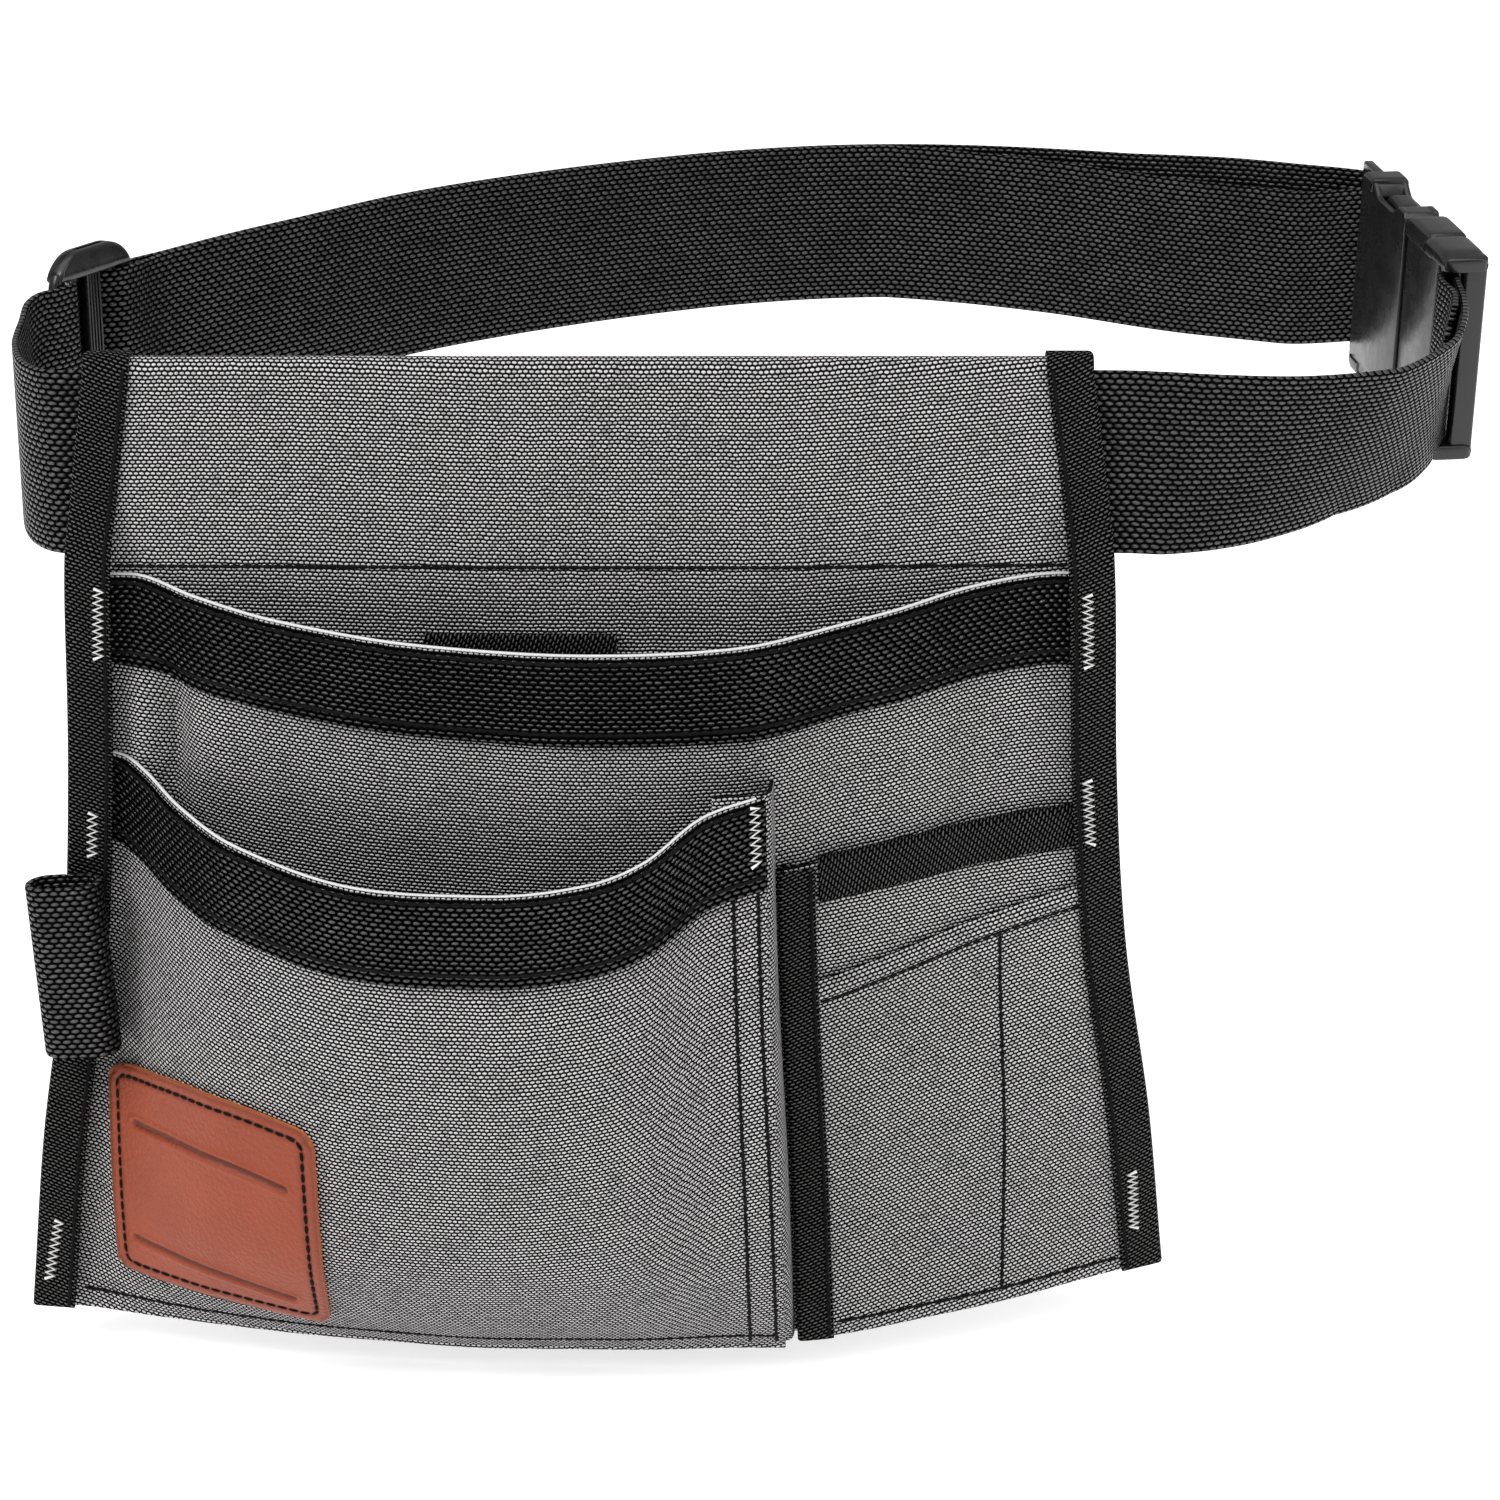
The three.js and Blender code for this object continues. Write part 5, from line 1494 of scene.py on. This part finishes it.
pen_surface = over_large(PEN_PLY)
CLOTH_FACE = CANVAS / 2 + 0.1 * MM
TAPE_FACE = TAPE / 2 + 0.1 * MM
BAND_FACE = BAND / 2 + 0.05 * MM
steps = np.linspace(0, 1, 120)


front = PANEL_ROWS[:, 2] == 0


def on_binding(word, z, width, lift=TAPE_FACE):
    rows = np.interp(z, PANEL_ROWS[front, 0], np.arange(front.sum()))
    column = (1 - width / BINDING_WIDTH) * LEG_STEPS
    return on_grid(binding_grids[word], rows, column, lift, -1 if word == "left" else 1)



# %% Black seams
BAND_SEAMS = (0.7, 10.2)
TAPE_SEAM = 0.9
SIDE_SEAM = BINDING_WIDTH - 1.6 * MM
foot = -APRON_DROP + 4.5 * MM + 0 * steps
black = [seam(panel_surface, mix(0.045, 0.955, steps), -TUNNEL_SEAM + 0 * steps, CLOTH_FACE)]
for word in ("left", "right"):
    black.append(on_binding(word, np.linspace(-APRON_DROP + 2 * MM, TUNNEL_TOP, 120), SIDE_SEAM))
for band, first, last in [(large_band, 2, 3), (nail_band, 4, 2)]:
    for row in BAND_SEAMS:
        black.append(on_grid(band, row, np.linspace(first, band.shape[1] - last, 240), BAND_FACE, -1))
across = mix(RIGHT_START + 0.036, 1 - POCKET_INSET - 0.03, steps)
pen_hem = -mix(*PEN_RIM, right_share(across)) - 6.2 * MM
for surface, along, z in [
    (nail_point, 0.953 + 0 * steps, mix(nail_rim(0.953) - 8 * MM, -APRON_DROP + 3 * MM, steps)),
    (nail_point, 0.988 + 0 * steps, mix(nail_rim(0.988) - 8 * MM, -APRON_DROP + 3 * MM, steps)),
    (pen_surface, across, pen_hem),
    (pen_surface, mix(0.885, 0.858, steps), mix(-133 * MM, -APRON_DROP + 6 * MM, steps)),
    (pen_surface, across, foot),
    (nail_point, mix(0.05, 0.98, steps), foot),
]:
    black.append(seam(surface, along, z, CLOTH_FACE))
for grid, first, last in [(small_edge, 0.5, 1.5), (centre, 1, 2)]:
    black.append(on_grid(grid, np.linspace(first, len(grid) - last, 100), TAPE_SEAM, TAPE_FACE))
stitches("black_seams", black, black_thread)

# %% Patch stitches
radius = PATCH_CORNER - PATCH_STITCH + 1 * MM
right, bottom = PATCH_WIDTH - PATCH_STITCH, PATCH_HEIGHT - PATCH_STITCH
loop_line = rounded_outline(PATCH_STITCH, PATCH_STITCH, right, bottom, radius, 9)
loop_line = np.concatenate([loop_line, loop_line[:1]])
dense = np.linspace(0, len(loop_line) - 1, 400)
along, down = [np.interp(dense, np.arange(len(loop_line)), loop_line[:, axis]) for axis in range(2)]
point = patch_surface(along, down)
ahead = patch_surface(along + 1 * MM, down) - patch_surface(along - 1 * MM, down)
above = patch_surface(along, down - 1 * MM) - patch_surface(along, down + 1 * MM)
out = unit(np.cross(ahead, above))
face_height = CANVAS / 2 + 2 * GAP + PATCH - 0.15 * MM
line = [(point + out * face_height, out)]
stitches("patch_stitches", line, black_thread, 3.3 * MM, 3.0 * MM, 1.1 * MM)

# %% [markdown]
# ## Bartacks and rolled rims
# Where a pocket's rim meets a binding, a white bartack holds it: a dense zigzag of thread. The rim
# of each big pocket is rolled to a thin round bead, and its pale grey is painted highlight on the roll.

# %% White bartacks
ZIGZAG = 0.95 * MM
ZIGZAG_HALF = 1.25 * MM
TACKS = table("top bottom first second", """
     -33  -53 8.0 7.6
     -97 -110 5.7 5.7
    -222 -241 5.0 3.2
     -35  -56 6.2 6.2
     -89 -109 6.8 6.6
    -216 -236 5.4 6.4
""")


def sway(count):
    return np.arange(count) % 2 * 2 - 1


tacks = []
for number, row in enumerate(zip(*TACKS.values())):
    top, bottom, first, second = [value * MM for value in row]
    z = np.linspace(top, bottom, int((top - bottom) / ZIGZAG))
    width = np.linspace(first, second, len(z)) + sway(len(z)) * ZIGZAG_HALF
    tacks.append(on_binding("left" if number < 3 else "right", z, width, TAPE_FACE + 0.1 * MM))
column = nail_band.shape[1] - 2.4 + sway(17) * 0.55
tacks.append(on_grid(nail_band, np.linspace(0.3, 8.5, 17), column, BAND_FACE + 0.1 * MM, -1))
thread("white_bartacks", tacks, white_thread, 0.45 * MM)

# %% Rolled rims
# A thin round bead along each big pocket's rim, in the pale painted-highlight finish.
lines = [grid[0, 2:-1] for grid in (large_grid, nail_grid)]
rims = [(line, 0 * line + [0, 0, 1.0]) for line in lines]
thread("rolled_pocket_rims", rims, rolled_rim_highlight, 0.52 * MM)

# %% [markdown]
# ## Stage
# The floor is a plain pale plane just under the hem. Soft light comes from the upper left front,
# with a weaker one at the right. A broad one from above and the pale surroundings fill the shadows.

# %% Floor, lights and surroundings
FLOOR = -262 * MM
REACH_OUT = 6
corners = [(x * REACH_OUT, y * REACH_OUT, FLOOR) for x, y in ((-1, -1), (1, -1), (1, 1), (-1, 1))]
floor_mesh = bpy.data.meshes.new("floor")
floor_mesh.from_pydata(corners, [], [(0, 1, 2, 3)])
ground = new_object("floor", floor_mesh)
floor_finish, tree, shader = new_material("pale_floor")
for name, value in {"Base Color": grey(0.95), "Emission Color": grey(1), "Emission Strength": 0.42,
                    "Roughness": 0.9}.items():
    shader.inputs[name].default_value = value
floor_mesh.materials.append(floor_finish)


def light(name, kind, power, toward, place=(0, 0, 0), **settings):
    data = bpy.data.lights.new(name, kind)
    data.energy = power
    for setting, value in settings.items():
        setattr(data, setting, value)
    lamp = new_object(name, data)
    lamp.location = place
    lamp.rotation_euler = Vector(toward).to_track_quat("-Z", "Y").to_euler()


for name, power, place, width, height in [
    ("key_light", 16, (-1.3, -1.1, 1.3), 0.7, 0.7),
    ("side_light", 8, (1.6, -0.9, 0.9), 0.5, 1.2),
]:
    light(name, "AREA", power, -Vector(place), place, shape="RECTANGLE", size=width, size_y=height)
light("broad_light", "SUN", 2.2, (0.15, 0.3, -0.9), angle=math.radians(80))
world = bpy.data.worlds.new("pale surroundings")
world.use_nodes = True
sky = world.node_tree.nodes["Background"].inputs
sky["Color"].default_value = (1, 1, 1, 1)
sky["Strength"].default_value = 0.4
bpy.context.scene.world = world
bpy.context.scene.view_settings.view_transform = "Standard"
